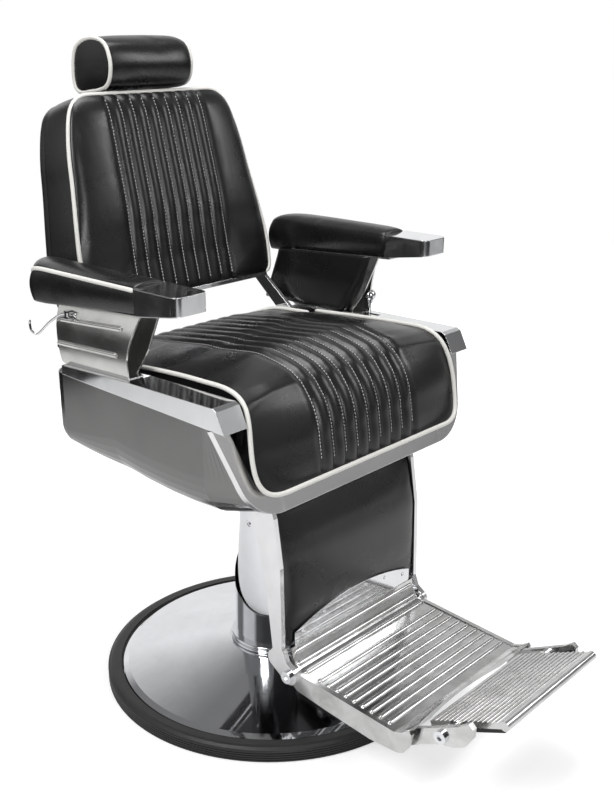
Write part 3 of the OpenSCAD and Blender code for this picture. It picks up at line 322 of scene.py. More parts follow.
def through(knots, values, places):
    """Smooth values between knots without overshoot: a monotone cubic."""
    knots, values = np.asarray(knots, float), np.asarray(values, float)
    places = np.clip(np.asarray(places, float), knots[0], knots[-1])
    step = np.diff(knots)
    rise = np.diff(values, axis=0) / step.reshape(-1, *[1] * (values.ndim - 1))
    slope = np.zeros_like(values)
    slope[0], slope[-1] = rise[0], rise[-1]
    same = rise[:-1] * rise[1:] > 0
    total = np.where(same, rise[:-1] + rise[1:], 1)
    slope[1:-1] = np.where(same, 2 * rise[:-1] * rise[1:] / total, 0)
    i = np.clip(np.searchsorted(knots, places, side="right") - 1, 0, len(step) - 1)
    shape = (-1, *[1] * (values.ndim - 1))
    h = step[i].reshape(shape)
    t = ((places - knots[i]) / step[i]).reshape(shape)
    return ((2 * t**3 - 3 * t**2 + 1) * values[i] + (t**3 - 2 * t**2 + t) * h * slope[i]
            + (3 * t**2 - 2 * t**3) * values[i + 1] + (t**3 - t**2) * h * slope[i + 1])


def run_of(steps):
    """How far along a line each of its points lies, from the steps between them."""
    return np.concatenate([[0], np.cumsum(steps)])


def steps_of(points):
    """Distances from each point of a line to the next."""
    return np.linalg.norm(np.diff(points, axis=0), axis=1)


def grid_faces(rows, columns, start=0):
    """Faces of a grid of points, row by row."""
    return [(a, a + 1, a + columns + 1, a + columns) for r in range(rows - 1)
            for a in range(start + r * columns, start + (r + 1) * columns - 1)]


def cloth_mesh(name, grids, material):
    """One smooth mesh from grids of points in millimetres, sewn where their edges meet."""
    points, faces = [], []
    for grid in grids:
        grid = np.asarray(grid, float)
        faces += grid_faces(*grid.shape[:2], len(points))
        points.extend(map(tuple, grid.reshape(-1, 3) * MM))
    mesh = bpy.data.meshes.new(name)
    mesh.from_pydata(points, [], faces)
    work = bmesh.new()
    work.from_mesh(mesh)
    bmesh.ops.remove_doubles(work, verts=work.verts, dist=0.0001)
    bmesh.ops.recalc_face_normals(work, faces=work.faces)
    work.to_mesh(mesh)
    work.free()
    mesh.polygons.foreach_set("use_smooth", [True] * len(mesh.polygons))
    mesh.materials.append(material)
    piece = bpy.data.objects.new(name, mesh)
    scene.collection.objects.link(piece)
    return piece


def vinyl_cover(name, grids):
    """A cover sewn from grids of points in black vinyl, with its facets rounded off."""
    cover = cloth_mesh(name, grids, black_vinyl)
    cover.modifiers.new("smooth", "SUBSURF").render_levels = 1
    return cover


def sewn_edges(grid):
    """Marks the points round the edge of a panel, where its seam holds it."""
    held = np.zeros(np.shape(grid)[:2], bool)
    held[[0, -1]] = held[:, [0, -1]] = True
    return held


def stuffed(grid, held, pressure, cap):
    """Blows a sewn panel up from behind like foam under vinyl. Held points stay where they
    are sewn, the finest creases are smoothed and no point moves further than cap mm."""
    last_frame, spare, smoothing = 20, 0.002, 5
    grid = np.asarray(grid, float)
    rows, columns = grid.shape[:2]
    mesh = bpy.data.meshes.new("panel")
    mesh.from_pydata([tuple(p) for p in grid.reshape(-1, 3) * MM], [], grid_faces(rows, columns))
    panel = bpy.data.objects.new("panel", mesh)
    scene.collection.objects.link(panel)
    sewn = panel.vertex_groups.new(name="sewn")
    sewn.add(np.flatnonzero(np.asarray(held).reshape(-1)).tolist(), 1.0, "REPLACE")
    cloth = panel.modifiers.new("cloth", "CLOTH")
    cloth.settings.quality = 6
    cloth.settings.mass = 0.25
    cloth.settings.vertex_group_mass = "sewn"
    cloth.settings.use_pressure = True
    cloth.settings.uniform_pressure_force = pressure
    cloth.settings.effector_weights.gravity = 0
    cloth.settings.shrink_min = -spare
    cloth.settings.bending_stiffness = 1.5
    cloth.collision_settings.use_collision = False
    cloth.point_cache.frame_start = 1
    cloth.point_cache.frame_end = last_frame
    for number in range(1, last_frame + 1):
        scene.frame_set(number)
    shaped = panel.evaluated_get(bpy.context.evaluated_depsgraph_get()).data
    flat = np.zeros(rows * columns * 3)
    shaped.vertices.foreach_get("co", flat)
    moved = flat.reshape(rows, columns, 3) / MM - grid
    for _ in range(smoothing):
        near = moved.copy()
        near[1:-1] = (moved[:-2] + 2 * moved[1:-1] + moved[2:]) / 4
        near[:, 1:-1] = (near[:, :-2] + 2 * near[:, 1:-1] + near[:, 2:]) / 4
        moved = np.where(np.asarray(held)[..., None], 0.0, near)
    far = np.linalg.norm(moved, axis=2, keepdims=True)
    bpy.data.objects.remove(panel)
    scene.frame_set(1)
    return grid + moved * (cap * np.tanh(far / cap) / np.maximum(far, 1e-9))


def fluted(x, flute, lines, depth):
    """How far a channelled panel dips at x, with a stitch line at every flute."""
    near = np.abs(x - flute * np.round(x / flute)) / (flute / 2)
    outside = (np.abs(x) - lines * flute) / (0.6 * flute)
    near = np.where(np.abs(x) > lines * flute, np.clip(outside, 0, 1), near)
    return depth * np.maximum(0, 1 - near) ** 2.3


def across(half, flute, lines, outer):
    """Places across a panel: even steps inside the channels, then outer ones to the edge."""
    inner = lines * flute
    middle = np.linspace(-inner, inner, 2 * lines * flute_steps + 1)
    side = 1 - (1 - np.linspace(0, 1, outer + 1)[1:]) ** 1.25
    side = inner + (half - inner) * side
    return np.concatenate([-side[::-1], middle, side])


def stitch_columns(lines, outer):
    """Columns of a panel's points that lie on its stitch lines."""
    return outer + flute_steps * np.arange(2 * lines + 1)


def crown_shape(x, half, crown, fall):
    """Height of a cushion's face above its piping; fall shapes the slope to the sides."""
    return crown * np.maximum(0, 1 - (np.abs(x) / half) ** fall[0]) ** fall[1]


def wadding(edge, foot, steps, bulge, out):
    """Boxing strip between two lines of points, swelling a little outward in its middle."""
    edge, foot, out = (np.asarray(v, float) for v in (edge, foot, out))
    rows = []
    for t in np.linspace(0, 1, steps + 1):
        rows.append(edge * (1 - t) + foot * t + out * bulge * math.sin(math.pi * t) ** 0.8)
    return np.stack(rows)


def piping(name, points, radius, closed=False):
    """White cord along smooth points in millimetres."""
    points = np.asarray(points, float)
    count, sides = len(points), 12
    if closed:
        tangent = np.roll(points, -1, axis=0) - np.roll(points, 1, axis=0)
    else:
        tangent = np.gradient(points, axis=0)
    tangent /= np.linalg.norm(tangent, axis=1, keepdims=True)
    side = np.cross(tangent[0], (0.31, 0.52, 0.79))
    rings = []
    for k in range(count):
        side = side - tangent[k] * np.dot(side, tangent[k])
        side /= np.linalg.norm(side)
        other = np.cross(tangent[k], side)
        turn = np.linspace(0, 2 * math.pi, sides + 1)[:, None]
        swell = radius if closed or 0 < k < count - 1 else radius * 0.6
        rings.append(points[k] + swell * (np.cos(turn) * side + np.sin(turn) * other))
    if closed:
        rings.append(rings[0])
    else:
        rings.insert(0, np.repeat(points[:1] - tangent[0] * radius * 0.4, sides + 1, axis=0))
        rings.append(np.repeat(points[-1:] + tangent[-1] * radius * 0.4, sides + 1, axis=0))
    return cloth_mesh(name, [np.stack(rings)], white_vinyl)


def evened(points, gap):
    """The same line with a point about every gap millimetres."""
    points = np.asarray(points, float)
    run = run_of(steps_of(points))
    places = np.linspace(0, run[-1], max(4, int(run[-1] / gap) + 1))
    return through(run, points, places)


def rounded_line(points, passes):
    """Softens the corners of an evenly spaced line and keeps its ends."""
    points = np.asarray(points, float).copy()
    for _ in range(passes):
        points[1:-1] = 0.5 * points[1:-1] + 0.25 * (points[:-2] + points[2:])
    return points


def stitches(name, lines, length, gap, width):
    """A row of short thread stitches along each line; a line is (points, normals)."""
    grids = []
    for points, normals in lines:
        run = run_of(steps_of(points))
        for s in np.arange(gap, run[-1] - length - gap, length + gap):
            ends = [s + length * f for f in (0, 0.08, 0.5, 0.92, 1)]
            spine = np.stack([[np.interp(e, run, points[:, k]) for k in range(3)] for e in ends])
            up = np.array([np.interp(s, run, normals[:, k]) for k in range(3)])
            ahead = spine[-1] - spine[0]
            side = np.cross(ahead, up)
            side /= np.linalg.norm(side)
            sink = np.array([-0.5, 0.05, 0.32, 0.05, -0.5]) * width
            wide = np.array([0.15, 0.5, 0.5, 0.5, 0.15]) * width
            turn = np.linspace(0, 2 * math.pi, 7)[:, None]
            grids.append(np.stack([spine[k] + up * sink[k] + wide[k]
                                   * (np.cos(turn) * side + np.sin(turn) * up) for k in range(5)]))
    return cloth_mesh(name, grids, thread)


leather, given, put_out = effect("vinyl grain", [("Size", 900.0), ("Creases", 14.0)],
                                 ["Height", "Pore", "Sheen"])
where = own_place(leather)
pebble = add(leather, "ShaderNodeTexVoronoi", {"Vector": where, "Scale": given["Size"],
                                               "Randomness": 1.0}).outputs["Distance"]
fold = noise(leather, where, given["Creases"], 6.0, Roughness=0.62, Distortion=0.8)
leather.links.new(maths(leather, "MULTIPLY_ADD", fold, 6.0, pebble), put_out["Height"])
leather.links.new(pebble, put_out["Pore"])
leather.links.new(ranged(leather, fold, 0.3, 0.7), put_out["Sheen"])


def upholstery(name, colour, rough, spread, size, depth):
    """Coated vinyl: pebbled grain, faint creases and a gloss that wears unevenly."""
    material, tree, shader = finish(name, colour, rough)
    skin = place(tree, leather, Size=size, Creases=12.0)
    gloss(tree, shader, skin["Sheen"], rough, rough + spread)
    tint(tree, shader, skin["Pore"], [c * 0.72 for c in colour], colour)
    relief(tree, shader, skin["Height"], depth, 0.00025)
    shader.inputs["Specular IOR Level"].default_value = 0.55
    return material


black_vinyl = upholstery("black vinyl", (0.0075, 0.0075, 0.008), 0.24, spread=0.1, size=850.0,
                         depth=0.3)
white_vinyl = upholstery("white piping vinyl", (0.86, 0.85, 0.81), 0.4, spread=0.12,
                         size=1100.0, depth=0.25)

thread, tree, shader = finish("grey thread", (0.42, 0.42, 0.41), 0.75)
where = own_place(tree)
twist = add(tree, "ShaderNodeTexWave", {"Vector": where, "Scale": 900.0, "Distortion": 1.5},
            bands_direction="DIAGONAL").outputs[0]
tint(tree, shader, twist, (0.42, 0.42, 0.41), (0.72, 0.72, 0.7))
relief(tree, shader, twist, 0.5, 0.0003)

# edge y and z, foot y and z, half width and crown of the panel, from the rear to the front
seat_rows = np.array([
    [225, 634, 225, 620.2, 221, 1], [224, 638, 224, 620.2, 224, 4], [216, 642, 216, 620.2, 225, 8],
    [195, 645, 195, 620.2, 225, 12], [124, 649.5, 124, 620.2, 225, 18.5],
    [114, 650, 114, 620.2, 245, 19], [70, 653, 70, 620.2, 246, 21.5],
    [40, 655.5, 40, 620.2, 246, 22.5], [0, 658, 0, 620.2, 246, 21],
    [-45, 660, -45, 620.2, 247, 24], [-87, 661.5, -87, 620.2, 249, 26.5],
    [-120, 662, -120, 620.2, 250, 21.7], [-140, 662.5, -139, 620.2, 251, 16.7],
    [-154, 661, -150, 618.5, 251.5, 13.8], [-166, 658, -158, 615, 252, 12],
    [-178, 653, -166, 609, 253, 9.5], [-188, 645.5, -173, 603, 254.5, 9],
    [-196, 634, -179, 597, 257, 10.5], [-203, 617, -184, 589, 260, 15],
    [-209, 596, -188, 580, 263.5, 17.5], [-213, 575, -190.2, 566, 265.5, 18.5],
    [-216, 555, -190.2, 552, 265.5, 18], [-220, 538, -190.2, 537, 263, 16.5],
    [-225, 522, -190.2, 522, 258, 13], [-230, 511, -190.2, 511.5, 247, 8],
    [-234, 505.5, -190.2, 506, 232, 4], [-235.5, 503.5, -190.2, 504.3, 218, 2]], float)
seat_fall = (3.5, 1.0)
seat_flute = 30.5
seat_lines = 4
seat_depth = 6.0
seat_outer = 34
seat_bands = 150
seat_sewn = slice(8, -6)
seat_tuck = 2

run = run_of(steps_of(seat_rows[:, :2]))
rows = through(run, seat_rows, np.linspace(0, run[-1], seat_bands))
edge, foot, half, crown = rows[:, :2], rows[:, 2:4], rows[:, 4], rows[:, 5]
out = (edge - foot) / np.linalg.norm(edge - foot, axis=1, keepdims=True)
panel = []
for e, o, h, c in zip(edge, out, half, crown):
    x = across(h, seat_flute, seat_lines, seat_outer)
    up = crown_shape(x, h, c, seat_fall)
    up -= fluted(x, seat_flute, seat_lines, min(seat_depth, 0.75 * c))
    panel.append(np.stack([x, e[0] + o[0] * up, e[1] + o[1] * up], axis=1))
panel = np.array(panel)
held = sewn_edges(panel)
held[:, stitch_columns(seat_lines, seat_outer)] = True
panel = stuffed(panel, held, pressure=3.0, cap=2.5)
round_edge = np.concatenate([panel[::-1, 0], panel[0, 1:-1], panel[:, -1]])
base_line = np.concatenate([
    np.column_stack([seat_tuck - half[::-1], foot[::-1]]),
    np.column_stack([panel[0, 1:-1, 0] * 0.99, np.tile(foot[0], (panel.shape[1] - 2, 1))]),
    np.column_stack([half - seat_tuck, foot])])
inward = np.column_stack([-np.sign(round_edge[:, 0]), np.zeros((len(round_edge), 2))])
boxing = wadding(round_edge, base_line, steps=8, bulge=0.8, out=inward)
seat_cover = vinyl_cover("seat_cushion_cover", [panel, boxing])
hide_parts("seat_cushion")
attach(seat_cover, "seat")

# Piping in the seam: down each side, round the corners of the front and along its foot.
seam_side = np.array([
    (247, 112, 651.5), (247, 62, 654.5), (247, 30, 657), (247, -2, 659), (248, -47, 661.5),
    (250, -91, 663), (251, -134, 664), (252.5, -155, 662.5), (253.5, -173, 658), (255, -187, 650),
    (258, -199, 635), (262, -207, 615), (265.5, -213, 590), (267, -217, 567), (266, -221, 545),
    (262, -226, 526), (253, -232, 512), (238, -237, 505), (220, -240, 503)], float)
far_side = seam_side[::-1] * (-1, 1, 1)
front_foot = np.array([(x, -241, 503.5) for x in (180, 90, 0, -90, -180)], float)
seam = rounded_line(evened(np.concatenate([seam_side, front_foot, far_side]), 6.0), 3)
seat_piping = piping("seat_piping", seam, cord_radius)
rear_seam = np.array([(-226, 112, 651.5), (-226, 150, 649.5), (-226, 190, 647), (-224, 214, 643.5),
                      (-205, 225, 639), (-100, 227, 637), (0, 227, 637), (100, 227, 637),
                      (205, 225, 639), (224, 214, 643.5), (226, 190, 647), (226, 150, 649.5),
                      (226, 112, 651.5)], float)
rear_seam = rounded_line(evened(rear_seam, 6.0), 3)
rear_piping = piping("seat_rear_piping", rear_seam, cord_radius)
for piece in (seat_piping, rear_piping):
    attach(piece, "seat")

# Lock stitches along the bottom of every channel, a little above the vinyl.
face = np.column_stack([np.zeros(len(out)), out])[seat_sewn]
seat_seams = [(panel[seat_sewn, column] + face * stitch_lift, face)
              for column in stitch_columns(seat_lines, seat_outer)]
seat_stitching = stitches("seat_stitching", seat_seams, **stitch_size)
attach(seat_stitching, "seat")

# ------------------------------------------------------------------ arm stands and tips
# Hollow chromed steel stands, open at the front, with two ribs pressed into the outer
# wall and a cast chrome cap closing the front of each arm. They are bolted to the rails,
# and a padded board covers the inner side of each stand.

arm_chrome = plated("arm chrome", (0.72, 0.72, 0.7), 0.17, clouds=18.0, haze=0.1, waves=0.05,
                    edge=0.0016, hollow=True)
dress(arm_chrome, "left_arm_frame", "right_arm_frame")
tip_chrome = plated("tip chrome", (0.74, 0.75, 0.76), 0.07, clouds=26.0, haze=0.12, waves=0.04,
                    edge=0.0022)
dress(tip_chrome, "left_arm_tip", "right_arm_tip")


def arm_under(y):
    """Height of the underside of the arm rest."""
    return 777 - (y + 40) * 16 / 272


board_front = np.array([(52, 654.5), (30, 692), (16, 716), (-10, 778)], float)
board_rear = ((654.5, 765), (265, 238))
board_foot, board_height, board_pad = 655.2, 118, 7
board_size, board_round = (230, 115), (14, 12)
stand_wall = 272.9
for side, name in ((1, "left_arm_panel"), (-1, "right_arm_panel")):
    grid = []
    for t in np.linspace(0, 1, 17):
        row = []
        for s in np.linspace(0, 1, 29):
            z = board_foot + t * board_height
            front = np.interp(z, board_front[:, 1], board_front[:, 0])
            y = front + s * (np.interp(z, *board_rear) - front)
            z = board_foot + t * (arm_under(y) - 0.8 - board_foot)
            rim = min(s, 1 - s) * board_size[0]
            swell = 1 - max(0, 1 - rim / board_round[0]) ** 2.2
            swell = min(swell, 1 - max(0, 1 - t * board_size[1] / board_round[1]) ** 2.2)
            inner = 249 + (z - 650) * 18 / 130
            row.append((side * (inner + board_pad * (1 - swell)), y, z))
        grid.append(row)
    face = stuffed(grid, sewn_edges(grid), pressure=1.5, cap=1.5)
    loop = np.concatenate([face[0], face[1:, -1], face[-1, -2::-1], face[-2::-1, 0]])
    wall = loop.copy()
    wall[:, 0] = side * stand_wall
    cover = vinyl_cover(name + "_cover", [face, np.stack([loop, (loop + wall) / 2, wall])])
    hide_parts(name)
    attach(cover, "seat")

# ------------------------------------------------------------------ arm pads
# Long padded rests on the stands: a crowned vinyl top, a boxing strip round the outside,
# and white piping in the seam from the front, along the outer edge and round the rear.

# y, inset of the sides, drop of the top, skew of the rear end
pad_rows = np.array([
    [-39.8, 1, 1, 0], [-30, 0, 0, 0], [30, 0, 0, 0], [90, 0, 0, 0], [150, 0, 0, 8],
    [190, 0, 0, 20], [212, 1, 1, 30], [224, 3, 4, 35], [231, 8, 10, 38], [233, 16, 18, 38]], float)
pad_in, pad_out, pad_top, pad_crown = 273.0, 338.5, 817.0, 12.0
pad_bands, pad_columns = 74, 25
pad_tuck, pad_sag, pad_bulge = 3, 13, 4.4
pad_end = -38.6

run = run_of(np.abs(np.diff(pad_rows[:, 0])) + np.diff(pad_rows[:, 2]).clip(0) * 0.7)
rows = through(run, pad_rows, np.linspace(0, run[-1], pad_bands))
for side, label in ((1, "left"), (-1, "right")):
    grid, under = [], []
    for y, inset, drop, skew in rows:
        a, b = pad_in + inset, pad_out - inset
        t = np.linspace(-1, 1, pad_columns)
        t = np.sign(t) * (1 - (1 - np.abs(t)) ** 1.3)
        x = a + (b - a) * (t + 1) / 2
        yy = y + skew * (pad_out - x) / (pad_out - pad_in)
        fade = np.clip((y + 40) / 26, 0, 1) ** 0.5
        crown = pad_crown * (0.72 + 0.28 * fade) * (1 - np.abs(t) ** 2.4) ** 0.6
        grid.append(np.stack([side * x, yy, pad_top - drop + crown], axis=1))
        under.append([(side * (a + pad_tuck), yy[0], arm_under(yy[0])),
                      (side * (b - pad_tuck), yy[-1], arm_under(yy[-1]))])
    under = np.array(under)
    top = stuffed(grid, sewn_edges(grid), pressure=3.0, cap=2.5)
    rear = top[-1, 1:-1]
    rear_foot = rear.copy()
    rear_foot[:, 1] -= 2
    rear_foot[:, 2] = [arm_under(y) for y in rear_foot[:, 1]]
    upper = np.concatenate([top[:, 0], rear, top[::-1, -1]])
    lower = np.concatenate([under[:, 0], rear_foot, under[::-1, 1]])
    # The boxing swells outward, most of all round the rear end, and sags below the stand
    # along its outer side.
    away = upper - (side * (pad_in + pad_out) / 2, 90, 0)
    away[:, 2] = 0
    away[:, 1] *= 0.25
    away /= np.linalg.norm(away, axis=1, keepdims=True)
    away *= 1 + np.clip((upper[:, 1:2] - 170) / 50, 0, 1)
    skirt = wadding(upper, lower, steps=12, bulge=pad_bulge, out=away)
    outer = np.clip((side * lower[:, 0] - 300) / 20, 0, 1)
    hang = np.clip((lower[:, 1] + 38) / 230, 0, 1) * np.maximum(outer, lower[:, 1] > 200)
    for k, sag in enumerate(np.linspace(0, 1, 13)[:-1]):
        skirt[k, :, 2] -= pad_sag * hang * sag ** 1.5
    skirt[-1] += away * -3
    base = np.stack([under[:, 0] + (under[:, 1] - under[:, 0]) * s for s in np.linspace(0, 1, 5)])
    toe = np.linspace(under[0, 0], under[0, 1], pad_columns)
    front = np.stack([top[0] + (toe - top[0]) * s for s in np.linspace(0, 1, 4)])
    pad = vinyl_cover(label + "_arm_cushion", [top, skirt, base, front])
    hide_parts(label + "_arm_pad")
    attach(pad, "seat")
    outer_seam = np.concatenate([top[:, -1], top[-1, -2:2:-1]])
    cord = piping(label + "_arm_piping", rounded_line(evened(outer_seam, 5.0), 4), 3.6)
    end_seam = np.array([(side * (pad_out - 1.5), pad_end, z) for z in (785, 800, 814)]
                        + [(side * x, pad_end, 816.6) for x in (335, 320, 300, 280)], float)
    end_cord = piping(label + "_arm_end_piping", rounded_line(evened(end_seam, 4.0), 2), 1.9)
    for piece in (cord, end_cord):
        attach(piece, "seat")

# ------------------------------------------------------------------ back cushion
# Upholstered back: a fluted front panel sewn in eight upright channels over foam, smooth
# boxing round the sides and top, white piping in the front seam and a plain rear panel.

# height, half width and crown of the front panel, from its foot to its top
back_rows = np.array([
    [0, 214, 1.5], [3, 222, 4], [10, 225, 6], [25, 227.5, 7], [60, 231, 8], [90, 230, 10.5],
    [124, 226, 14], [150, 222.5, 17], [177, 218.5, 18.5], [205, 214.5, 19], [228, 211.5, 19],
    [255, 208.5, 19], [280, 204.5, 19], [303, 199.5, 19], [322, 194.5, 18.5], [336, 189.5, 17.5],
    [347, 184.5, 15], [356, 177.5, 12], [363, 168.5, 8], [367.5, 160, 5], [370, 150, 1]], float)
back_height = 370.0
back_foot = (218, 723)
back_flute = ((40, 336), (29.2, 27.6))
back_lines = 4
back_outer = 28
back_bands = 112
back_sewn = slice(5, -4)
back_stitch_depth = 6.0
back_heart = (0, 170)
back_tilt = math.radians(14)
back_taper = math.radians(3.2)
back_depth = 111.0
shell_thick = 20.0


def on_back(points):
    """From the backrest's own x, depth and height to the chair's millimetres."""
    x, u, v = np.moveaxis(np.asarray(points, float), -1, 0)
    c, s = math.cos(back_tilt), math.sin(back_tilt)
    return np.stack([x, back_foot[0] + u * c + v * s, back_foot[1] - u * s + v * c], axis=-1)


run = run_of(np.hypot(np.diff(back_rows[:, 0]), np.diff(back_rows[:, 1])))
rows = through(run, back_rows, np.linspace(0, run[-1], back_bands))
panel = []
for v, h, c in rows:
    flute = np.interp(v, *back_flute)
    x = across(h, flute, back_lines, back_outer)
    square = np.interp(v, (20, 130), (3.0, 6.5))
    up = (crown_shape(x, h, c, (square, 0.42))
          - fluted(x, flute, back_lines, min(back_stitch_depth, 0.4 * c)))
    # In its upper half the panel bulges a little past its own seam.
    near_edge = (np.abs(x) / h) ** 10
    over = np.interp(v, (120, 250, 330, 362), (0, 5, 7, 3)) * near_edge * (1 - near_edge**3)
    panel.append(np.stack([x + np.sign(x) * over, -up, np.full(len(x), v)], axis=1))
held = sewn_edges(panel)
held[:, stitch_columns(back_lines, back_outer)] = True
panel = stuffed(on_back(panel), held, pressure=3.0, cap=2.5)
top_edge = np.full(panel.shape[1] - 2, back_height)
outline = np.column_stack([
    np.concatenate([-rows[:, 1], panel[-1, 1:-1, 0], rows[::-1, 1]]),
    np.concatenate([rows[:, 0], top_edge, rows[::-1, 0]])])
rim = np.concatenate([panel[:, 0], panel[-1, 1:-1], panel[::-1, -1]])
deep = back_depth - shell_thick / math.cos(back_taper) - outline[:, 1] * math.tan(back_taper) - 0.5
far_edge = on_back(np.stack([outline[:, 0] * 0.998, deep, outline[:, 1] * 0.999], axis=1))
spread = outline - back_heart
spread /= np.linalg.norm(spread, axis=1, keepdims=True)
spread = np.column_stack([spread[:, 0], np.zeros(len(spread)), spread[:, 1]])
boxing = wadding(rim, far_edge, steps=14, bulge=1.6, out=on_back(spread) - on_back((0, 0, 0)))
level = np.zeros(panel.shape[1])
sole = on_back(np.stack([
    np.column_stack([panel[0, :, 0] * (1 - 0.008 * s), level + deep[0] * s, level])
    for s in np.linspace(0, 1, 6)]))
sole[0] = panel[0]
back_cover = vinyl_cover("back_cushion_cover", [panel, boxing, sole])
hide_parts("back_cushion")
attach(back_cover, "back")

seam = on_back(np.column_stack([outline[:, 0], np.full(len(outline), -0.5), outline[:, 1]]))
back_piping = piping("back_piping", rounded_line(evened(seam, 6.0), 3), cord_radius)
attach(back_piping, "back")

forward = on_back((0, -1, 0)) - on_back((0, 0, 0))
face = np.repeat(forward[None], len(panel[back_sewn]), axis=0)
back_seams = [(panel[back_sewn, column] + face * stitch_lift, face)
              for column in stitch_columns(back_lines, back_outer)]
back_stitching = stitches("back_stitching", back_seams, **stitch_size)
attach(back_stitching, "back")


# Rear board: vinyl over plywood, its edge rounded over and drawn tight to the boxing.
def on_rear(points):
    """From the rear board's own x, distance in front of its face and height."""
    x, d, v = np.moveaxis(np.asarray(points, float), -1, 0)
    c, s = math.cos(back_taper), math.sin(back_taper)
    return on_back(np.stack([x, back_depth - d * c - v * s, v * c - d * s], axis=-1))


shell_half, shell_mid = 230.0, back_height / 2
ring = np.concatenate([outline, np.column_stack([np.linspace(213, -213, 40), np.zeros(40)])])
layers = []
for inset, d in ((0, 20), (0, 14), (0.2, 9), (0.6, 5), (1.6, 2.2), (4, 0.8), (12, 0.2), (40, 0),
                 (90, 0), (150, 0)):
    layers.append(on_rear(np.column_stack([
        ring[:, 0] * (1 - inset / shell_half), np.full(len(ring), float(d)),
        shell_mid + (ring[:, 1] - shell_mid) * (1 - inset / shell_mid)])))
layers.append(np.repeat(on_rear((0, 0, shell_mid))[None], len(ring), axis=0))
layers = [np.concatenate([layer, layer[:1]]) for layer in layers]
back_shell = cloth_mesh("back_shell_cover", [np.stack(layers)], black_vinyl)
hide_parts("back_shell")
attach(back_shell, "back")
dress(rail_chrome, "back_links", "back_rail")

# ------------------------------------------------------------------ headrest
# Roll-shaped cushion on a flat chromed post that slides in the back. One vinyl panel
# wraps round it, and a flat end panel is piped into each end.

# y and z round the section of the roll, rounded off by a smooth curve through them
head_side = np.array([[384, 1080], [400, 1089], [405, 1111], [402, 1142], [391, 1164], [364, 1177],
                      [330, 1178.5], [304, 1167], [292, 1138], [295.5, 1109], [309, 1093],
                      [332, 1086], [358, 1082.5]], float)
head_half = 97.0
head_seat = 1087
end_bulge = 3.0
loop = []
for i in range(len(head_side)):
    a, b, c, d = (head_side[(i + k) % len(head_side)] for k in (-1, 0, 1, 2))
    for t in np.arange(6) / 6:
        loop.append(0.5 * (2 * b + (c - a) * t + (2 * a - 5 * b + 4 * c - d) * t * t
                           + (3 * b - a - 3 * c + d) * t**3))
loop = np.array(loop + loop[:1])
middle = loop[:-1].mean(axis=0)
head_low = 1079.5 + (381 - loop[:, 0]) * 0.125
body = []
for x in np.linspace(-head_half, head_half, 49):
    rim = 0.965 if x < 0 else 0.93
    size = rim + (1.015 - rim) * (1 - (abs(x) / head_half) ** (5 if x < 0 else 9))
    ring = middle + (loop - middle) * size
    ring[:, 1] = np.maximum(ring[:, 1], head_low)
    body.append(np.column_stack([np.full(len(ring), x), ring]))
body = np.array(body)
held = sewn_edges(body) | (body[:, :, 2] < head_seat)
body = stuffed(body, held, pressure=2.0, cap=2.0)
ends = []
for end in (0, -1):
    rim = body[end]
    heart = rim[:-1].mean(axis=0)
    bulge = np.array([math.copysign(1, heart[0]), 0, 0])
    ends.append(np.stack([heart + (rim - heart) * s + bulge * end_bulge * (1 - s**2.5)
                          for s in (1, 0.94, 0.82, 0.62, 0.4, 0.2, 0.001)]))
head_cover = vinyl_cover("headrest_cover", [body, *ends])
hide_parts("headrest_cushion")
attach(head_cover, "headrest")
for end, label in ((0, "right"), (-1, "left")):
    seam = body[end][:-1].copy()
    if label == "left":
        seam = seam.mean(axis=0) + (seam - seam.mean(axis=0)) * 0.96
        seam[:, 0] += 1.5
    cord = piping(label + "_headrest_piping", seam, 3.6, closed=True)
    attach(cord, "headrest")
dress(chrome, "headrest_post")

# ------------------------------------------------------------------ leg rest
# Two flat chromed leg bars with a padded calf board between them. A polished kick plate
# with an arched edge protects the vinyl behind the sitter's heels, held by six screws.

bar_chrome = plated("bar chrome", (0.74, 0.74, 0.75), 0.1, clouds=16.0, haze=0.12, waves=0.04)
dress(bar_chrome, "left_leg_bar", "right_leg_bar", "foot_lugs")
dress(rail_chrome, "kick_plate")
dress(bare_steel, "leg_link")

# height, y and crown of the calf pad, from its foot to its top
calf_rows = np.array([
    [190, -198, 1], [196, -200, 2], [230, -201, 3], [266, -201, 4], [311, -200, 5], [343, -199, 6],
    [380, -192.5, 6], [412, -186, 3], [428, -181, 2], [436, -176, 1.5], [442, -168, 0.5]], float)
calf_half = 180.4
calf_bands, calf_columns = 46, 61
calf_clamped = 243
calf_board = ((190, 311, 425), (-192, -177, -150))
heights = np.linspace(calf_rows[0, 0], calf_rows[-1, 0], calf_bands)
rows = through(calf_rows[:, 0], calf_rows, heights)
grid = []
for z, y, crown in rows:
    t = np.linspace(-1, 1, calf_columns)
    t = np.sign(t) * (1 - (1 - np.abs(t)) ** 1.4)
    grid.append(np.stack([t * calf_half, y + 4 - (4 + crown) * (1 - np.abs(t) ** 7) ** 0.5,
                          np.full(len(t), z)], axis=1))
grid = np.array(grid)
held = sewn_edges(grid) | (grid[:, :, 2] < calf_clamped)
face = stuffed(grid, held, pressure=2.0, cap=2.0)
board_y = np.interp(rows[:, 0], *calf_board) - 0.3
outer = np.concatenate([face[:, 0], face[-1, 1:-1], face[::-1, -1], face[0, -2:0:-1]])
rear_y = np.concatenate([board_y, np.full(calf_columns - 2, board_y[-1]), board_y[::-1],
                         np.full(calf_columns - 2, board_y[0])])
inner = np.column_stack([outer[:, 0], rear_y, outer[:, 2]])
calf_cover = vinyl_cover("calf_pad_cover", [face, np.stack([outer, (outer + inner) / 2, inner])])
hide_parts("calf_pad")
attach(calf_cover, "leg_rest")


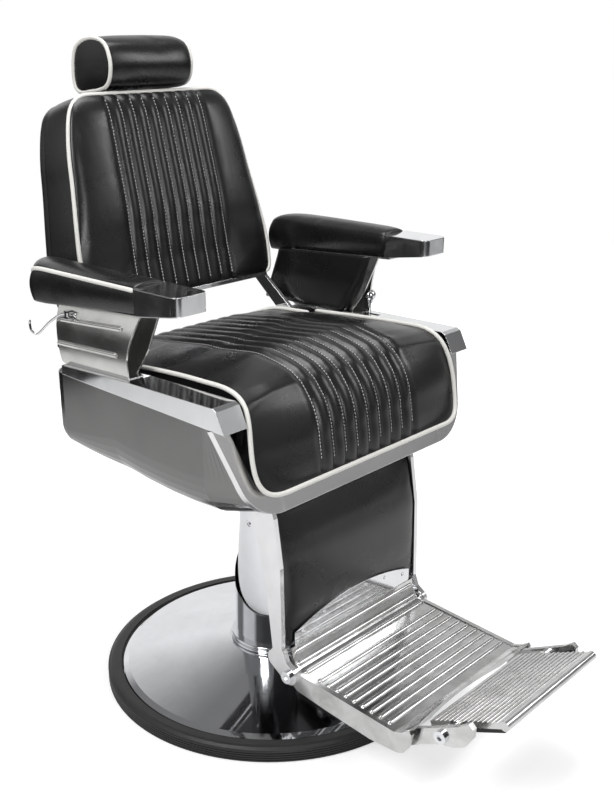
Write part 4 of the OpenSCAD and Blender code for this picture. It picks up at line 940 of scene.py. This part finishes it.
def screw(name, centre, normal, radius, height):
    """Pan-head screw with a cross recess, its head lying on a surface."""
    centre, normal = np.asarray(centre, float), np.asarray(normal, float)
    side = np.cross(normal, (0.0, 0.0, 1.0) if abs(normal[2]) < 0.9 else (1.0, 0.0, 0.0))
    side /= np.linalg.norm(side)
    other = np.cross(normal, side)
    turn = np.linspace(0, 2 * math.pi, 25)[:, None]
    rings = []
    for r, h in ((1, 0), (1, 0.35), (0.94, 0.65), (0.8, 0.88), (0.62, 1), (0.44, 1), (0.36, 0.45),
                 (0.001, 0.4)):
        cross = np.abs(np.cos(2 * turn)) ** 3 if r < 0.5 else np.ones_like(turn)
        reach = radius * r * (0.55 + 0.45 * cross)
        rings.append(centre + normal * height * h
                     + reach * np.cos(turn) * side + reach * np.sin(turn) * other)
    return cloth_mesh(name, [np.stack(rings)], chrome)


plate_face = -206.7
screw_places = ((30, 231), (85, 224), (140, 210))
for i, (x, z) in enumerate(screw_places):
    for side, letter in ((-1, "r"), (1, "l")):
        head = screw(f"kick_screw_{i}_{letter}", (side * x, plate_face, z), (0, -1, 0),
                     radius=3.6, height=1.7)
        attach(head, "leg_rest")

# ------------------------------------------------------------------ footrest and step
# One aluminium casting with raised ribs, its rear curled up behind the heels, and a
# ribbed step hinged between its front arms with a rubber face underneath.

cast_aluminium, tree, shader = finish("polished casting", (0.74, 0.74, 0.745), 0.16, 1.0)
cast = place(tree, marks, Scale=22.0, Smear=14.0)
skin = noise(tree, own_place(tree), 480.0, 5.0)
gloss(tree, shader, cast["Cloud"], 0.12, 0.3)
tint(tree, shader, cast["Cloud"], (0.64, 0.64, 0.635), (0.46, 0.46, 0.45))
surface = maths(tree, "MULTIPLY_ADD", skin, 0.02, cast["Ripple"])
relief(tree, shader, surface, 0.12, 0.01)
dress(cast_aluminium, "foot_plate", "step_flap")
dress(chrome, "foot_bolts", "step_pins")

# ------------------------------------------------------------------ recline lever and hook
# Chromed rod with a ball on its end, turning on a pin between two cheeks under the rail,
# and a hook of bent chromed wire whose sleeve turns on an upright pin behind the arm.

dress(chrome, "lever_bracket", "lever_rod", "lever_knob", "hook_staple", "towel_hook")

# ------------------------------------------------------------------ floor and light
# A sheet of white paper on the floor of a studio, with a white wall behind the chair and
# darker walls elsewhere, a large soft lamp overhead and smaller ones on three sides.

floor_mesh = bpy.data.meshes.new("floor")
floor_mesh.from_pydata([(-2.6, -3.2, 0), (4.5, -3.2, 0), (4.5, 1.75, 0), (-2.6, 1.75, 0)], [],
                       [(0, 1, 2, 3)])
floor = bpy.data.objects.new("floor", floor_mesh)
scene.collection.objects.link(floor)
paper, tree, matt = finish("floor paper", (0.8, 0.8, 0.8), 0.9)
matt.inputs["Specular IOR Level"].default_value = 0.0
mirrored_white = 0.2
path = add(tree, "ShaderNodeLightPath")
mirrored = add(tree, "ShaderNodeMath", {0: path.outputs["Is Glossy Ray"],
                                        1: path.outputs["Is Transmission Ray"]},
               operation="ADD", use_clamp=True).outputs[0]
mirrored = maths(tree, "MULTIPLY", mirrored, mirrored_white)
reach = add(tree, "ShaderNodeVectorMath", {0: own_place(tree)},
            operation="LENGTH").outputs["Value"]
away = ranged(tree, reach, 0.8, 1.7, 0.5, 1.0)
glow = maths(tree, "MULTIPLY_ADD", path.outputs["Is Camera Ray"], away, mirrored)
matt.inputs["Emission Color"].default_value = (1, 1, 1, 1)
tree.links.new(glow, matt.inputs["Emission Strength"])
floor_mesh.materials.append(paper)

world = bpy.data.worlds.new("room")
scene.world = world
world.use_nodes = True
tree = world.node_tree
tree.nodes.clear()
direction = add(tree, "ShaderNodeSeparateXYZ",
                {"Vector": add(tree, "ShaderNodeTexCoord").outputs["Generated"]})
heading = maths(tree, "ARCTAN2", direction.outputs["X"], direction.outputs["Y"])
walls = add(tree, "ShaderNodeValToRGB", {"Fac": ranged(tree, heading, -math.pi, math.pi)})
ramp = walls.color_ramp.elements
ramp[0].position, ramp[0].color = 0.0, (0.12, 0.12, 0.12, 1)
ramp[1].position, ramp[1].color = 1.0, (0.12, 0.12, 0.12, 1)
# share of the way round the room and how pale its wall is there
wall_tones = ((0.05, 0.07), (0.2, 0.05), (0.27, 0.1), (0.3, 0.75), (0.4, 0.85), (0.43, 0.2),
              (0.5, 0.25), (0.53, 1.0), (0.74, 1.0), (0.77, 0.15), (0.84, 0.12), (0.87, 0.5),
              (0.93, 0.4))
for position, grey in wall_tones:
    stop = ramp.new(position)
    stop.color = (grey, grey, grey, 1)
overhead = ranged(tree, direction.outputs["Z"], 0.45, 0.75)
room = mix_colour(tree, overhead, walls.outputs["Color"], (0.22, 0.22, 0.22, 1))
below = ranged(tree, direction.outputs["Z"], 0.0, -0.02)
room = mix_colour(tree, below, room, (0.03, 0.03, 0.03, 1))
path = add(tree, "ShaderNodeLightPath")
background = mix_colour(tree, path.outputs["Is Camera Ray"], room, (1, 1, 1, 1))
output = add(tree, "ShaderNodeOutputWorld")
shown = add(tree, "ShaderNodeBackground", {"Color": background, "Strength": 1.0}).outputs[0]
tree.links.new(shown, output.inputs["Surface"])


def soft_lamp(name, spot, aim, size, watts):
    """Rectangular lamp with its face towards a point."""
    lamp = bpy.data.objects.new(name, bpy.data.lights.new(name, "AREA"))
    lamp.data.shape = "RECTANGLE"
    lamp.data.size, lamp.data.size_y = size
    lamp.data.energy = watts
    lamp.location = spot
    gaze = Vector([a - b for a, b in zip(aim, spot)])
    lamp.rotation_euler = gaze.to_track_quat("-Z", "Y").to_euler()
    scene.collection.objects.link(lamp)


soft_lamp("key lamp", (-2.2, -0.3, 2.4), (0, 0, 0.6), (0.9, 1.2), 42)
soft_lamp("fill lamp", (1.9, -1.7, 2.1), (0, 0, 0.6), (0.8, 1.1), 14)
soft_lamp("front lamp", (-0.95, -2.7, 1.35), (0, 0, 0.8), (0.5, 1.3), 20)
soft_lamp("top lamp", (0.1, 0.1, 2.9), (0, 0, 0.5), (1.4, 1.4), 38)
scene.view_settings.view_transform = "Standard"
